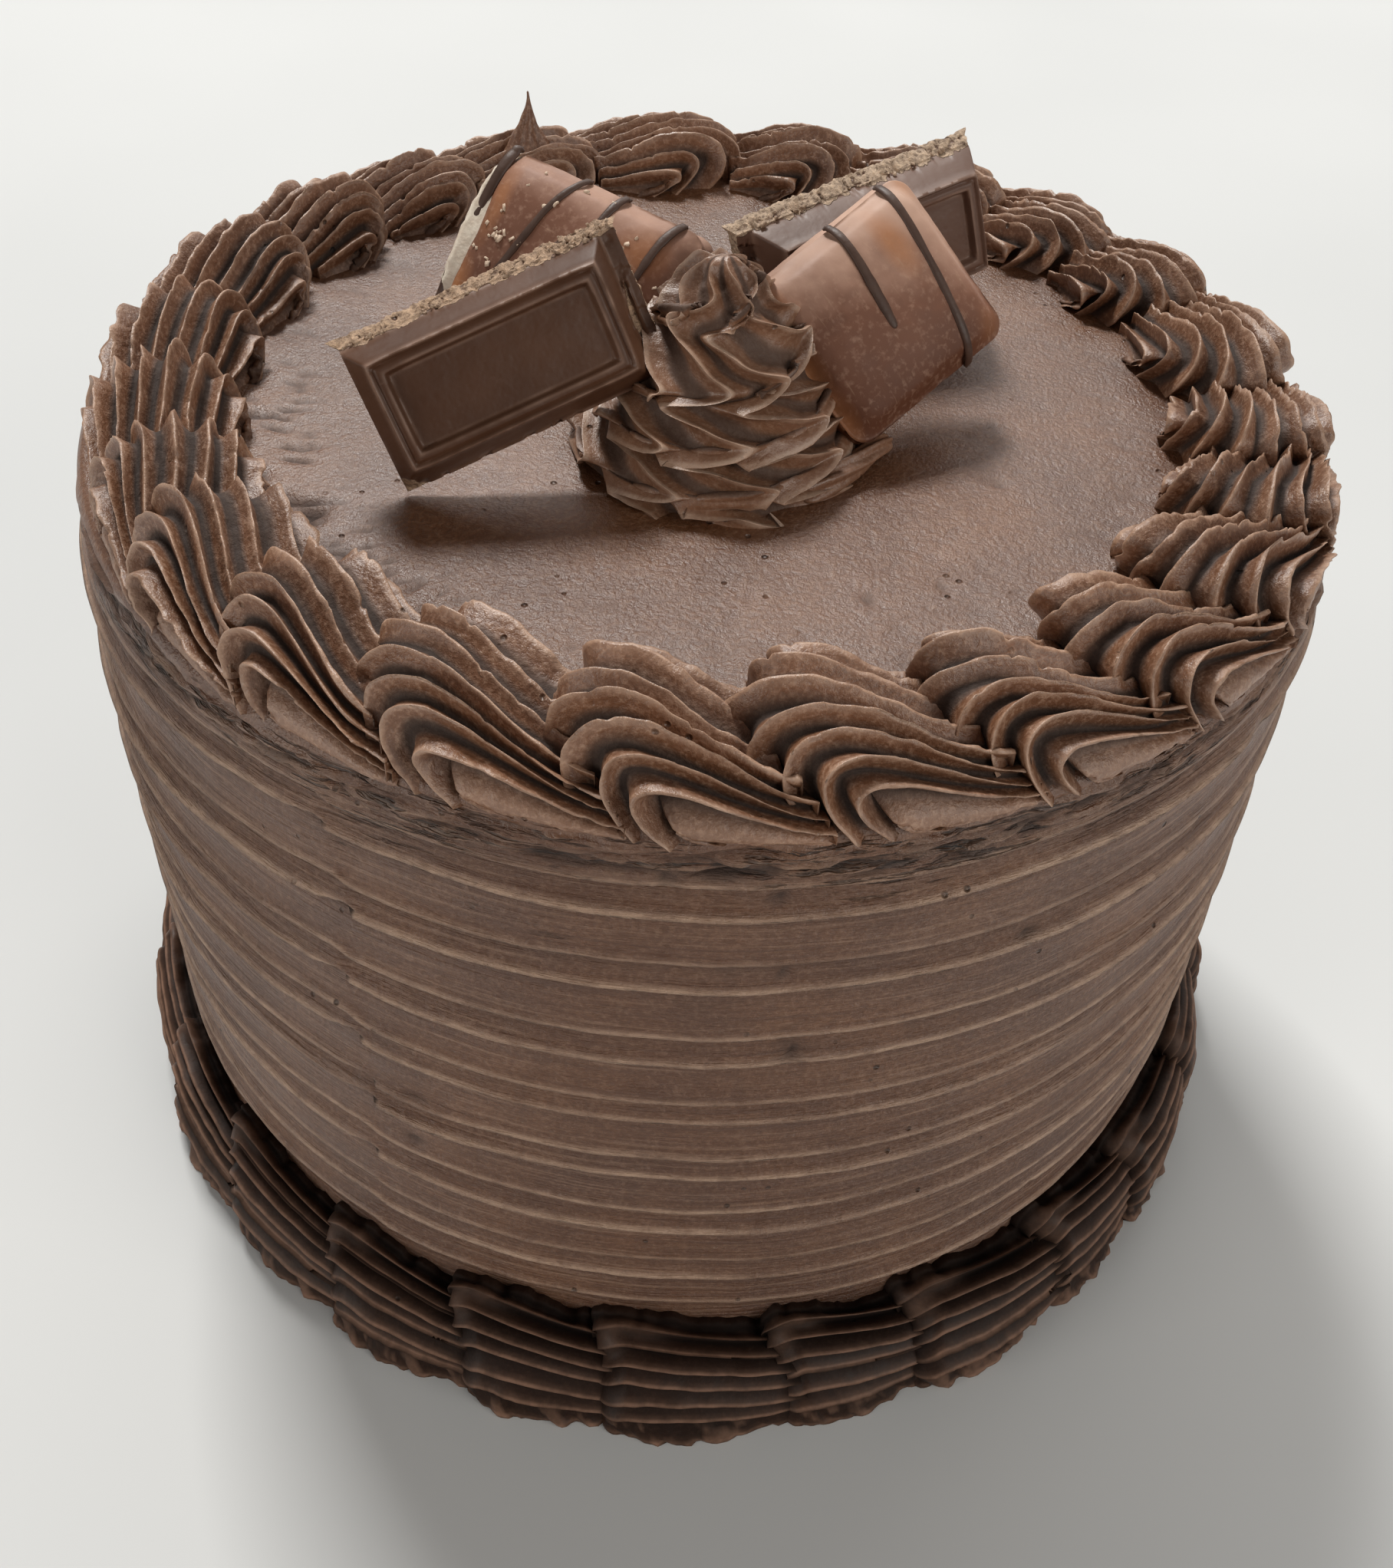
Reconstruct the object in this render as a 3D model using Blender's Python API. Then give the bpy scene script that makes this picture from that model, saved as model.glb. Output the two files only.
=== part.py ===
"""Six-inch round chocolate celebration cake.

One tall round cake covered with combed chocolate icing.  A border of piped
shells runs round the top edge and a darker border of piped shells runs round
the foot.  In the middle of the top stands a tall piped rosette with four
pieces of chocolate pushed in round it: two moulded bar pieces and two coated
cream pillows.

Frame: +Z up, the origin at the centre of the flat underside, the front of the
cake towards -Y.  Sizes are in millimetres in the constants and are turned
into metres when the meshes are made.
"""
import bpy
import bmesh
from math import sin, cos, pi, radians, sqrt, exp
from mathutils import Matrix, Vector

MM = 0.001
GAP = 0.3                     # clearance between neighbouring pieces

# ---- cake body -----------------------------------------------------------
BODY_R_FOOT = 82.0
BODY_R_TOP = 81.0
BODY_H = 112.5
TOP_ROUND = 2.2               # rounding of the top edge
COMB_RIDGE_Z = (22.2, 28.6, 32.9, 40.6, 44.9, 52.7, 56.7, 64.6,
                68.4, 75.9, 80.3, 88.9, 93.1, 101.2, 105.3)
COMB_RIDGE_OUT = 0.8          # how far a ridge stands proud
COMB_RIDGE_DROP = 1.3         # height of the lip under each ridge
BODY_STEPS = 40

# ---- border of shells round the top --------------------------------------
# where each shell's head starts, in degrees counted anticlockwise from +X
TOP_SHELL_AT = (1.5, 20.5, 36.0, 52.5, 72.5, 88.0, 107.0, 124.0, 140.5, 155.0,
                171.5, 187.0, 200.5, 213.0, 227.5, 242.0, 259.0, 274.0,
                290.0, 305.0, 320.0, 335.0, 348.0)
PEAK_SHELL = 6                # the last shell, pulled up to a point
PEAK_H = 13.0
TOP_R_IN = 60.0
TOP_R_OUT = 78.4              # outer toe at the back and the sides
TOP_OVERHANG = 3.2            # how much further it reaches at the front
TOP_SHELL_H = 9.4             # crest above the cake, middle value
TOP_SHELL_H_VARY = 1.4        # higher at the front, lower at the back
TOP_LOW_AT = ((50.0, 1.6, 20.0), (133.0, 1.9, 9.0))   # low places: where, how much, how wide
TOP_CREST_U = 0.46            # place of the crest from inner to outer toe
TOP_LEAN_IN = -1.5            # the joint between two shells slants: degrees
TOP_LEAN_OUT = 5.0            # of lag at the inner and the outer toe
TOP_RIDGES = 5
TOP_STATIONS = 6

# ---- border of shells round the foot -------------------------------------
FOOT_SHELL_AT = (7.3, 21.6, 35.9, 50.1, 64.4, 78.6, 92.9, 107.2, 121.4, 135.7,
                 150.0, 164.2, 178.5, 192.6, 206.7, 221.8, 237.0, 251.1,
                 265.3, 281.0, 293.9, 310.0, 323.4, 338.6, 353.0)
FOOT_OUT = 9.2                # how far a shell reaches out from the side
FOOT_THIN_LEFT = 0.20         # the border is thinner on the left side
FOOT_H = 20.0
FOOT_RIDGES = 4
FOOT_STATIONS = 5

# ---- rosette --------------------------------------------------------------
ROSETTE_AT = (1.0, -12.0)
ROSETTE_R = 18.6
ROSETTE_H = 27.0
ROSETTE_RIDGES = 9
ROSETTE_TURNS = 0.42          # how far a ridge winds round on its way up
ROSETTE_TIERS = 4

# ---- moulded bar pieces ----------------------------------------------------
BAR_L, BAR_W = 35.0, 18.0
BAR_PLATE = 3.0               # thickness of the plate that the pip stands on
BAR_T = 8.0
BAR_SLOPE = 2.4               # how far the pip's sides lean in
BAR_FRAME = 1.5               # width of the raised frame
BAR_PANEL = 1.0               # depth of the sunk panel

# ---- coated pillow pieces --------------------------------------------------
PILLOW_T = 9.0
PILLOW_ROUND = 2.6            # corner radius seen from above
PILLOW_FLANGE = 1.2           # height of the slope at the back edge
COAT = 1.5                    # thickness of the chocolate round the cream

# Every piece: the middle of its back, the way its face looks, the way its
# length runs.
BAR_FRONT = dict(at=(-24.4, -17.6, 126.4), face=(0.20, -0.875, 0.44),
                 along=(0.889, 0.300, 0.345))
BAR_REAR = dict(at=(18.6, 19.4, 125.0), face=(0.429, -0.881, 0.202),
                along=(0.861, 0.466, 0.203))
PILLOW_RIGHT = dict(at=(19.1, -0.4, 124.7), face=(0.296, -0.685, 0.665),
                    along=(0.657, -0.360, -0.663), size=(24.4, 27.2))
PILLOW_LEFT = dict(at=(-18.9, 19.0, 117.1), face=(-0.267, -0.732, 0.627),
                   along=(0.878, -0.451, -0.152), size=(32.8, 25.7))

# ---- colours (linear) ------------------------------------------------------
ICING = (0.200, 0.120, 0.082)
DARK_ICING = (0.030, 0.015, 0.010)
BAR_CHOCOLATE = (0.095, 0.053, 0.037)
COATING = (0.190, 0.088, 0.054)
CREAM = (0.650, 0.560, 0.420)


def clear_scene():
    for ob in list(bpy.data.objects):
        bpy.data.objects.remove(ob, do_unlink=True)


def material(name, colour, roughness):
    mat = bpy.data.materials.new(name)
    mat.use_nodes = True
    bsdf = mat.node_tree.nodes["Principled BSDF"]
    bsdf.inputs["Base Color"].default_value = (*colour, 1.0)
    bsdf.inputs["Roughness"].default_value = roughness
    bsdf.inputs["Metallic"].default_value = 0.0
    mat.diffuse_color = (*colour, 1.0)
    return mat


def add_object(name, bm, mat, matrix=None, smooth_angle=50.0):
    """Turn a bmesh in millimetres into a placed object in metres."""
    bmesh.ops.recalc_face_normals(bm, faces=bm.faces)
    bmesh.ops.scale(bm, vec=(MM, MM, MM), verts=bm.verts)
    mesh = bpy.data.meshes.new(name)
    bm.to_mesh(mesh)
    bm.free()
    mesh.materials.append(mat)
    mesh.shade_smooth()
    mesh.set_sharp_from_angle(angle=radians(smooth_angle))
    ob = bpy.data.objects.new(name, mesh)
    bpy.context.scene.collection.objects.link(ob)
    if matrix is not None:
        ob.matrix_world = matrix
    return ob


def polar(r, deg, z):
    a = radians(deg)
    return Vector((r * cos(a), r * sin(a), z))


def smooth(t):
    t = min(1.0, max(0.0, t))
    return t * t * (3.0 - 2.0 * t)


# ---- body -------------------------------------------------------------------
def body_radius(z):
    return BODY_R_FOOT + (BODY_R_TOP - BODY_R_FOOT) * z / BODY_H


def build_body(mat):
    outline = [(0.0, 0.0), (BODY_R_FOOT, 0.0), (body_radius(20.0), 20.0)]
    for z in COMB_RIDGE_Z:
        r = body_radius(z)
        outline.append((r - 0.1, z - COMB_RIDGE_DROP))
        outline.append((r + COMB_RIDGE_OUT, z))
    for k in range(3):
        a = radians(45.0 * k)
        outline.append((BODY_R_TOP - TOP_ROUND * (1.0 - cos(a)),
                        BODY_H - TOP_ROUND * (1.0 - sin(a))))
    outline.append((0.0, BODY_H))
    bm = bmesh.new()
    verts = [bm.verts.new((r, 0.0, z)) for r, z in outline]
    edges = [bm.edges.new(pair) for pair in zip(verts, verts[1:])]
    bmesh.ops.spin(bm, geom=verts + edges, cent=(0, 0, 0), axis=(0, 0, 1),
                   angle=2 * pi, steps=BODY_STEPS, use_duplicate=False)
    bmesh.ops.remove_doubles(bm, verts=bm.verts, dist=0.001)
    return add_object("cake_body", bm, mat)


# ---- lofting helper ----------------------------------------------------------
def loft(rings):
    """Join equal closed rings of points into one capped solid."""
    bm = bmesh.new()
    rows = [[bm.verts.new(p) for p in ring] for ring in rings]
    n = len(rows[0])
    for a, b in zip(rows, rows[1:]):
        for i in range(n):
            j = (i + 1) % n
            bm.faces.new((a[i], a[j], b[j], b[i]))
    bm.faces.new(rows[0])
    bm.faces.new(rows[-1])
    return bm


# ---- top border ---------------------------------------------------------------
def top_shell(start, end, uneven, peaked):
    """A ridged shell: a high round head that falls away to a tail whose
    ridges run out to the edge of the cake."""
    rings = []
    span = end - start
    middle = radians(start + 0.5 * span)
    front = max(0.0, -sin(middle))
    tall = (TOP_SHELL_H - TOP_SHELL_H_VARY * sin(middle)) * uneven
    for place, drop, wide in TOP_LOW_AT:
        tall -= drop * exp(-((start + 0.5 * span - place) / wide) ** 2)
    reach = TOP_R_OUT + TOP_OVERHANG * front + 0.8 * cos(middle)
    for j in range(TOP_STATIONS):
        s = j / (TOP_STATIONS - 1)
        rise = 0.62 + 0.38 * smooth(s / 0.30)
        fall = 1.0 - 0.50 * smooth((s - 0.30) / 0.70)
        high = tall * rise * fall
        if peaked:
            high = (5.5 + (PEAK_H - 5.5) * exp(-((s - 0.40) / 0.16) ** 2)) * (1.0 - 0.3 * s)
            high = PEAK_H if j == 2 else high
        r_in = TOP_R_IN + 7.5 * smooth(s) + 1.5 * (1.0 - smooth(s / 0.25))
        r_out = reach - 1.2 * (1.0 - smooth(s / 0.35))
        trim = 0.0
        if j == 0:
            trim = 0.12
        if j == TOP_STATIONS - 1:
            trim = -0.12
        inner = start + span * s + TOP_LEAN_IN + trim
        outer = start + span * s + TOP_LEAN_OUT + trim
        ring = []
        steps = 2 * TOP_RIDGES
        crest = TOP_CREST_U + 0.10 * s
        for k in range(steps + 1):
            u = k / steps
            if u < crest:
                arch = sin(0.5 * pi * u / crest) ** 0.60
            else:
                arch = max(0.0, cos(0.5 * pi * (u - crest) / (1.0 - crest))) ** 0.75
            if peaked and j == 2:
                arch = arch ** 2.2
            ridge = 0.0
            if 0 < k < steps:
                ridge = 1.0 if k % 2 else -0.9
            p = polar(r_in, inner, 0.0).lerp(polar(r_out, outer, 0.0), u)
            p.z = BODY_H + GAP + max(0.0, high * arch + ridge * arch * 0.8)
            ring.append(p)
        rings.append(ring)
    return loft(rings)


def build_top_border(mat):
    count = len(TOP_SHELL_AT)
    for i, start in enumerate(TOP_SHELL_AT):
        end = TOP_SHELL_AT[(i + 1) % count]
        if end < start:
            end += 360
        uneven = 1.0 + 0.06 * sin(2.4 * i + 0.7)
        bm = top_shell(start, end, uneven, i == PEAK_SHELL)
        add_object("top_shell_%02d" % (i + 1), bm, mat, smooth_angle=70.0)


# ---- foot border ----------------------------------------------------------------
def foot_shell(start, end, uneven):
    rings = []
    span = end - start
    left = max(0.0, -cos(radians(start + 0.5 * span)))
    steps = 2 * FOOT_RIDGES
    wall = BODY_R_FOOT + GAP + 0.05
    for j in range(FOOT_STATIONS):
        s = j / (FOOT_STATIONS - 1)
        swell = (0.80 + 0.20 * smooth(s / 0.3)) * (1.0 - 0.24 * smooth((s - 0.3) / 0.7))
        out = FOOT_OUT * uneven * swell * (1.0 - FOOT_THIN_LEFT * left)
        high = FOOT_H * (0.90 + 0.10 * swell)
        deg = start + span * s + (0.12 if j == 0 else -0.12 if j == FOOT_STATIONS - 1 else 0.0)
        ring = [polar(wall, deg, 0.0), polar(wall, deg, high)]
        for k in range(1, steps):
            a = 0.5 * pi * k / steps
            bump = 0.75 if k % 2 else -0.55
            ring.append(polar(wall + 0.4 + (out - 0.4) * sin(a) ** 0.8 + bump * sin(a),
                              deg, high * cos(a) ** 0.9 + bump * cos(a)))
        ring.append(polar(wall + out + 0.3, deg, 0.0))
        rings.append(ring)
    return loft(rings)


def build_foot_border(mat):
    count = len(FOOT_SHELL_AT)
    for i, start in enumerate(FOOT_SHELL_AT):
        end = FOOT_SHELL_AT[(i + 1) % count]
        if end < start:
            end += 360
        uneven = 1.0 + 0.05 * sin(1.9 * i + 0.3)
        add_object("foot_shell_%02d" % (i + 1), foot_shell(start, end, uneven),
                   mat, smooth_angle=70.0)


# ---- rosette ---------------------------------------------------------------------
def rosette_radius(t):
    """Outline of the rosette: t is 0 at the foot and 1 at the tip."""
    return ROSETTE_R * (1.0 - t) ** 0.86 * (1.0 + 0.03 * sin(pi * t)) + 1.4 * t


def build_rosette(mat):
    around = 4 * ROSETTE_RIDGES
    levels = 11
    rings = []
    for j in range(levels):
        t = j / (levels - 1)
        z = BODY_H + GAP + ROSETTE_H * (1.0 - (1.0 - t) ** 1.15)
        base = rosette_radius(t)
        ring = []
        for k in range(around):
            a = 2 * pi * k / around
            wind = a + 2 * pi * ROSETTE_TURNS * t
            tier = 0.5 + 0.5 * cos(2 * pi * (ROSETTE_TIERS * t - a / (2 * pi)))
            depth = 0.10 * (1.0 - 0.6 * t)
            r = base * (0.92 + depth * cos(ROSETTE_RIDGES * wind) + 0.06 * tier)
            if j == 0:
                r = base * (0.97 + 0.5 * depth * cos(ROSETTE_RIDGES * wind))
            ring.append(Vector((ROSETTE_AT[0] + r * cos(a), ROSETTE_AT[1] + r * sin(a), z)))
        rings.append(ring)
    return add_object("rosette", loft(rings), mat, smooth_angle=80.0)


# ---- placing -----------------------------------------------------------------------
def placed(pose):
    """Matrix whose X runs along the piece and whose Z looks out of its face."""
    z = Vector(pose["face"]).normalized()
    x = Vector(pose["along"])
    x = (x - z * x.dot(z)).normalized()
    y = z.cross(x)
    m = Matrix((x, y, z)).transposed().to_4x4()
    m.translation = Vector(pose["at"]) * MM
    return m


def clip_to_cake(bm, pose):
    """Take off what would reach under the cake's top surface."""
    inv = placed(pose).inverted()
    scale = Matrix.Scale(1.0 / MM, 4)
    local = scale @ inv @ Matrix.Scale(MM, 4)
    point = local @ Vector((0.0, 0.0, BODY_H + GAP))
    normal = (inv.to_3x3() @ Vector((0.0, 0.0, 1.0))).normalized()
    geom = bm.verts[:] + bm.edges[:] + bm.faces[:]
    cut = bmesh.ops.bisect_plane(bm, geom=geom, plane_co=point, plane_no=normal,
                                 clear_inner=True, dist=0.0005)
    edges = [e for e in cut["geom_cut"] if isinstance(e, bmesh.types.BMEdge)]
    if edges:
        bmesh.ops.holes_fill(bm, edges=edges, sides=0)


def rectangle(length, width, z):
    x, y = length / 2, width / 2
    return [Vector((-x, -y, z)), Vector((x, -y, z)), Vector((x, y, z)), Vector((-x, y, z))]


def build_bar(name, pose, mat):
    """A snapped-off bar piece: plate, leaning sides, raised frame and a bare
    sunk panel."""
    top_l, top_w = BAR_L - 2 * BAR_SLOPE, BAR_W - 2 * BAR_SLOPE
    in_l, in_w = top_l - 2 * BAR_FRAME, top_w - 2 * BAR_FRAME
    bm = loft([
        rectangle(BAR_L, BAR_W, 0.0),
        rectangle(BAR_L, BAR_W, BAR_PLATE),
        rectangle(BAR_L - 1.0, BAR_W - 1.0, BAR_PLATE + 0.3),
        rectangle(top_l + 0.5, top_w + 0.5, BAR_T - 0.3),
        rectangle(top_l - 0.3, top_w - 0.3, BAR_T),
        rectangle(in_l + 0.3, in_w + 0.3, BAR_T),
        rectangle(in_l - 0.5, in_w - 0.5, BAR_T - BAR_PANEL),
    ])
    clip_to_cake(bm, pose)
    return add_object(name, bm, mat, placed(pose), smooth_angle=20.0)


def rounded_rectangle(length, width, radius, z, per_corner=4):
    ring = []
    radius = min(radius, 0.49 * min(length, width))
    for q, (sx, sy) in enumerate(((1, 1), (-1, 1), (-1, -1), (1, -1))):
        cx, cy = sx * (length / 2 - radius), sy * (width / 2 - radius)
        for k in range(per_corner):
            a = radians(90.0 * (q + k / (per_corner - 1)))
            ring.append(Vector((cx + radius * cos(a), cy + radius * sin(a), z)))
    return ring


def pillow_rings(length, width, inset=0.0, low=0.0):
    """Rings of a pillow: flat back, upright sides and a softly rounded face."""
    top = PILLOW_T - inset
    rings = []
    for z, back in ((low, 1.4), (PILLOW_FLANGE, 0.3), (PILLOW_FLANGE + 1.4, 0.0),
                    (6.4, 0.0), (7.8, 0.5), (8.6, 1.5), (9.0, 3.2)):
        height = low + (top - low) * z / PILLOW_T if z > low else low
        grow = 2 * (back + inset)
        rings.append(rounded_rectangle(length - grow, width - grow,
                                       max(1.2, PILLOW_ROUND - 0.3 * back), height))
    return rings


def subtract(ob, cutters):
    """Cut other solids out of an object and keep the cutters out of sight."""
    for cutter in cutters:
        cutter.display_type = 'WIRE'
        cutter.hide_render = True
        mod = ob.modifiers.new("cut_" + cutter.name, 'BOOLEAN')
        mod.operation = 'DIFFERENCE'
        mod.object = cutter


def build_pillow(name, pose, mat):
    length, width = pose["size"]
    bm = loft(pillow_rings(length, width))
    clip_to_cake(bm, pose)
    return add_object(name, bm, mat, placed(pose), smooth_angle=40.0)


def filling_rings(length, width, grow, far_left):
    """The cream inside a pillow, open at its cut left end."""
    half_w = width / 2 - COAT - 1.0 + grow
    low, high = COAT + 0.2 - grow, PILLOW_T - COAT + grow
    rings = []
    for x, shrink in ((far_left, 0.0), (length / 2 - COAT - 3.0, 0.0),
                      (length / 2 - COAT - 0.6 + grow, 1.6)):
        ring = []
        for k in range(12):
            a = 2 * pi * k / 12
            ring.append(Vector((x, (half_w - shrink) * cos(a),
                                (low + high) / 2 + (high - low - 2 * shrink) / 2 * sin(a))))
        rings.append(ring)
    return rings


def cutter_box(name, pose, length, width, thick, mat):
    """A plain box a little larger than a piece, used only for cutting."""
    bm = loft([rectangle(length + 2 * GAP, width + 2 * GAP, -GAP),
               rectangle(length + 2 * GAP, width + 2 * GAP, thick + GAP)])
    return add_object(name, bm, mat, placed(pose))


def main():
    clear_scene()
    icing = material("icing", ICING, 0.55)
    build_body(icing)
    build_top_border(material("border_icing", ICING, 0.50))
    build_foot_border(material("dark_icing", DARK_ICING, 0.42))
    rosette = build_rosette(material("rosette_icing", ICING, 0.50))
    bar = material("bar_chocolate", BAR_CHOCOLATE, 0.42)
    build_bar("bar_piece_front", BAR_FRONT, bar)
    build_bar("bar_piece_rear", BAR_REAR, bar)
    coat = material("coating", COATING, 0.45)
    build_pillow("pillow_piece_right", PILLOW_RIGHT, coat)
    left = build_pillow("pillow_piece_left", PILLOW_LEFT, coat)

    # cream that shows at the cut end of the left pillow
    length, width = PILLOW_LEFT["size"]
    cream = material("cream", CREAM, 0.6)
    bm = loft(filling_rings(length, width, 0.0, -length / 2 + 0.1))
    clip_to_cake(bm, PILLOW_LEFT)
    add_object("pillow_cream", bm, cream, placed(PILLOW_LEFT), smooth_angle=40.0)
    hollow = add_object("cutter_cream", loft(filling_rings(length, width, GAP, -length / 2 - 2.0)),
                        cream, placed(PILLOW_LEFT))
    subtract(left, [hollow])

    # the rosette gives way where the chocolate pieces are pushed into it
    cutters = [
        cutter_box("cutter_bar_front", BAR_FRONT, BAR_L, BAR_W, BAR_T, bar),
        cutter_box("cutter_bar_rear", BAR_REAR, BAR_L, BAR_W, BAR_T, bar),
        cutter_box("cutter_pillow_right", PILLOW_RIGHT, *PILLOW_RIGHT["size"], PILLOW_T, coat),
        cutter_box("cutter_pillow_left", PILLOW_LEFT, *PILLOW_LEFT["size"], PILLOW_T, coat),
    ]
    subtract(rosette, cutters)


main()
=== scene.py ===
"""Chocolate celebration cake: the detailed icing, chocolate pieces, crumbs,
materials, lights and camera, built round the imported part.

Lengths in the constants are in millimetres and are turned into metres when
the meshes are made.  Angles round the cake are in degrees, counted
anticlockwise from +X; the front of the cake is at 270.
"""

import bpy
import numpy as np
from math import radians, sin, cos, pi, tan, atan
from mathutils import Matrix, Vector


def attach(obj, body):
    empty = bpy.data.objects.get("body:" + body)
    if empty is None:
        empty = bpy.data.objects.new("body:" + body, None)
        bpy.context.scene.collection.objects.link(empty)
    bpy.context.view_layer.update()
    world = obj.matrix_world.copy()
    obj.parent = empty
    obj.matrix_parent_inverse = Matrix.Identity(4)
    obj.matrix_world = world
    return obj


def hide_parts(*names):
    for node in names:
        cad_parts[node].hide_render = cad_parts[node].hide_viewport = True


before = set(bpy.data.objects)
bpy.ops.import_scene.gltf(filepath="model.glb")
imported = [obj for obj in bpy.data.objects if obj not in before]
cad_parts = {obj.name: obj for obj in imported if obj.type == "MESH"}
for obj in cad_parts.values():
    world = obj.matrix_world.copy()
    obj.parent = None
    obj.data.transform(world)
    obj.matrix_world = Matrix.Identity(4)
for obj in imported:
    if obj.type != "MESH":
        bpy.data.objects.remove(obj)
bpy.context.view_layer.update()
MM = 0.001

# ---------------------------------------------------------------- sizes ------
BODY_R_FOOT, BODY_R_TOP, BODY_H = 82.0, 81.0, 112.5
TOP_ROUND = 2.2
COMB_Z = (22.2, 28.6, 32.9, 40.6, 44.9, 52.7, 56.7, 64.6,
          68.4, 75.9, 80.3, 88.9, 93.1, 101.2, 105.3)
COMB_POWER = (0.7, 0.9, 0.7, 1.0, 0.75, 1.0, 0.8, 1.0,
              0.75, 1.0, 0.75, 1.15, 0.7, 1.15, 0.6)
TOP_AT = (1.5, 20.5, 36.0, 52.5, 72.5, 88.0, 107.0, 124.0, 140.5, 155.0,
          171.5, 187.0, 200.5, 213.0, 227.5, 242.0, 259.0, 274.0,
          290.0, 305.0, 320.0, 335.0, 348.0)
PEAK_SHELL = 6
FOOT_AT = (7.3, 21.6, 35.9, 50.1, 64.4, 78.6, 92.9, 107.2, 121.4, 135.7,
           150.0, 164.2, 178.5, 192.6, 206.7, 221.8, 237.0, 251.1,
           265.3, 281.0, 293.9, 310.0, 323.4, 338.6, 353.0)
FOOT_OUT, FOOT_H, FOOT_THIN_LEFT = 9.2, 20.0, 0.20
ROSETTE_AT = (1.0, -12.0)
BAR_L, BAR_W, BAR_T, BAR_PLATE, BAR_SLOPE = 35.0, 18.0, 8.0, 3.0, 2.4
PILLOW_T = 9.0
BAR_FRONT = dict(at=(-24.4, -17.6, 126.4), face=(0.20, -0.875, 0.44),
                 along=(0.889, 0.300, 0.345))
BAR_REAR = dict(at=(18.6, 19.4, 125.0), face=(0.429, -0.881, 0.202),
                along=(0.861, 0.466, 0.203))
PILLOW_RIGHT = dict(at=(19.1, -0.4, 124.7), face=(0.296, -0.685, 0.665),
                    along=(0.657, -0.360, -0.663), size=(24.4, 27.2))
PILLOW_LEFT = dict(at=(-18.9, 19.0, 117.1), face=(-0.267, -0.732, 0.627),
                   along=(0.878, -0.451, -0.152), size=(32.8, 25.7))


# ---------------------------------------------------------------- noise ------
def lattice(ix, iy, iz, seed):
    n = (ix * 374761393 + iy * 668265263 + iz * 1440662683 + seed * 1013904223)
    n = n & 0xffffffff
    n = ((n ^ (n >> 13)) * 1274126177) & 0xffffffff
    n = ((n ^ (n >> 15)) * 2246822519) & 0xffffffff
    return ((n ^ (n >> 16)) & 0xffffff) / 8388607.5 - 1.0


def noise(p, seed=0):
    """Smooth value noise, -1 to 1, of points given as (..., 3)."""
    p = np.asarray(p, float)
    i = np.floor(p).astype(np.int64)
    f = p - i
    f = f * f * f * (f * (f * 6 - 15) + 10)
    out = 0.0
    for dx in (0, 1):
        wx = f[..., 0] if dx else 1 - f[..., 0]
        for dy in (0, 1):
            wy = f[..., 1] if dy else 1 - f[..., 1]
            for dz in (0, 1):
                wz = f[..., 2] if dz else 1 - f[..., 2]
                out = out + wx * wy * wz * lattice(i[..., 0] + dx, i[..., 1] + dy,
                                                   i[..., 2] + dz, seed)
    return out


def fbm(p, octaves=3, seed=0, gain=0.5):
    total, amp = 0.0, 1.0
    p = np.asarray(p, float)
    for k in range(octaves):
        total = total + amp * noise(p, seed + 17 * k)
        p = p * 2.03 + 11.3
        amp *= gain
    return total


def smooth(t):
    t = np.clip(t, 0.0, 1.0)
    return t * t * (3.0 - 2.0 * t)


def bell(x, wide):
    return np.exp(-(x / wide) ** 2)


# ---------------------------------------------------------------- meshes -----
def new_object(name, verts, faces, mat, nodes=(), matrix=None,
               smooth_shade=True, attributes=None):
    mesh = bpy.data.meshes.new(name)
    v = np.asarray(verts, float).reshape(-1, 3) * MM
    f = np.asarray(faces, np.int64)
    mesh.vertices.add(len(v))
    mesh.vertices.foreach_set("co", v.ravel())
    sizes = (f >= 0).sum(1)
    loops = f[f >= 0]
    mesh.loops.add(len(loops))
    mesh.loops.foreach_set("vertex_index", loops.astype(np.int32))
    starts = np.concatenate([[0], np.cumsum(sizes)[:-1]])
    mesh.polygons.add(len(f))
    mesh.polygons.foreach_set("loop_start", starts.astype(np.int32))
    mesh.update(calc_edges=True)
    mesh.validate()
    if smooth_shade:
        mesh.polygons.foreach_set("use_smooth", np.ones(len(mesh.polygons), bool))
    for key, values in (attributes or {}).items():
        a = mesh.attributes.new(key, 'FLOAT', 'POINT')
        a.data.foreach_set("value", np.asarray(values, np.float32).ravel())
    mesh.materials.append(mat)
    ob = bpy.data.objects.new(name, mesh)
    bpy.context.scene.collection.objects.link(ob)
    if matrix is not None:
        ob.matrix_world = matrix
    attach(ob, "root")
    if nodes:
        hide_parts(*nodes)
    return ob


def grid_faces(nu, nv, wrap_v=False):
    """Quads of a grid whose point (i, j) has the index i * nv + j."""
    i = np.arange(nu - 1)[:, None]
    j = np.arange(nv if wrap_v else nv - 1)[None, :]
    k = (j + 1) % nv
    a, b = i * nv + j, i * nv + k
    c, d = (i + 1) * nv + k, (i + 1) * nv + j
    return np.stack([a, b, c, d], -1).reshape(-1, 4)


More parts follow.
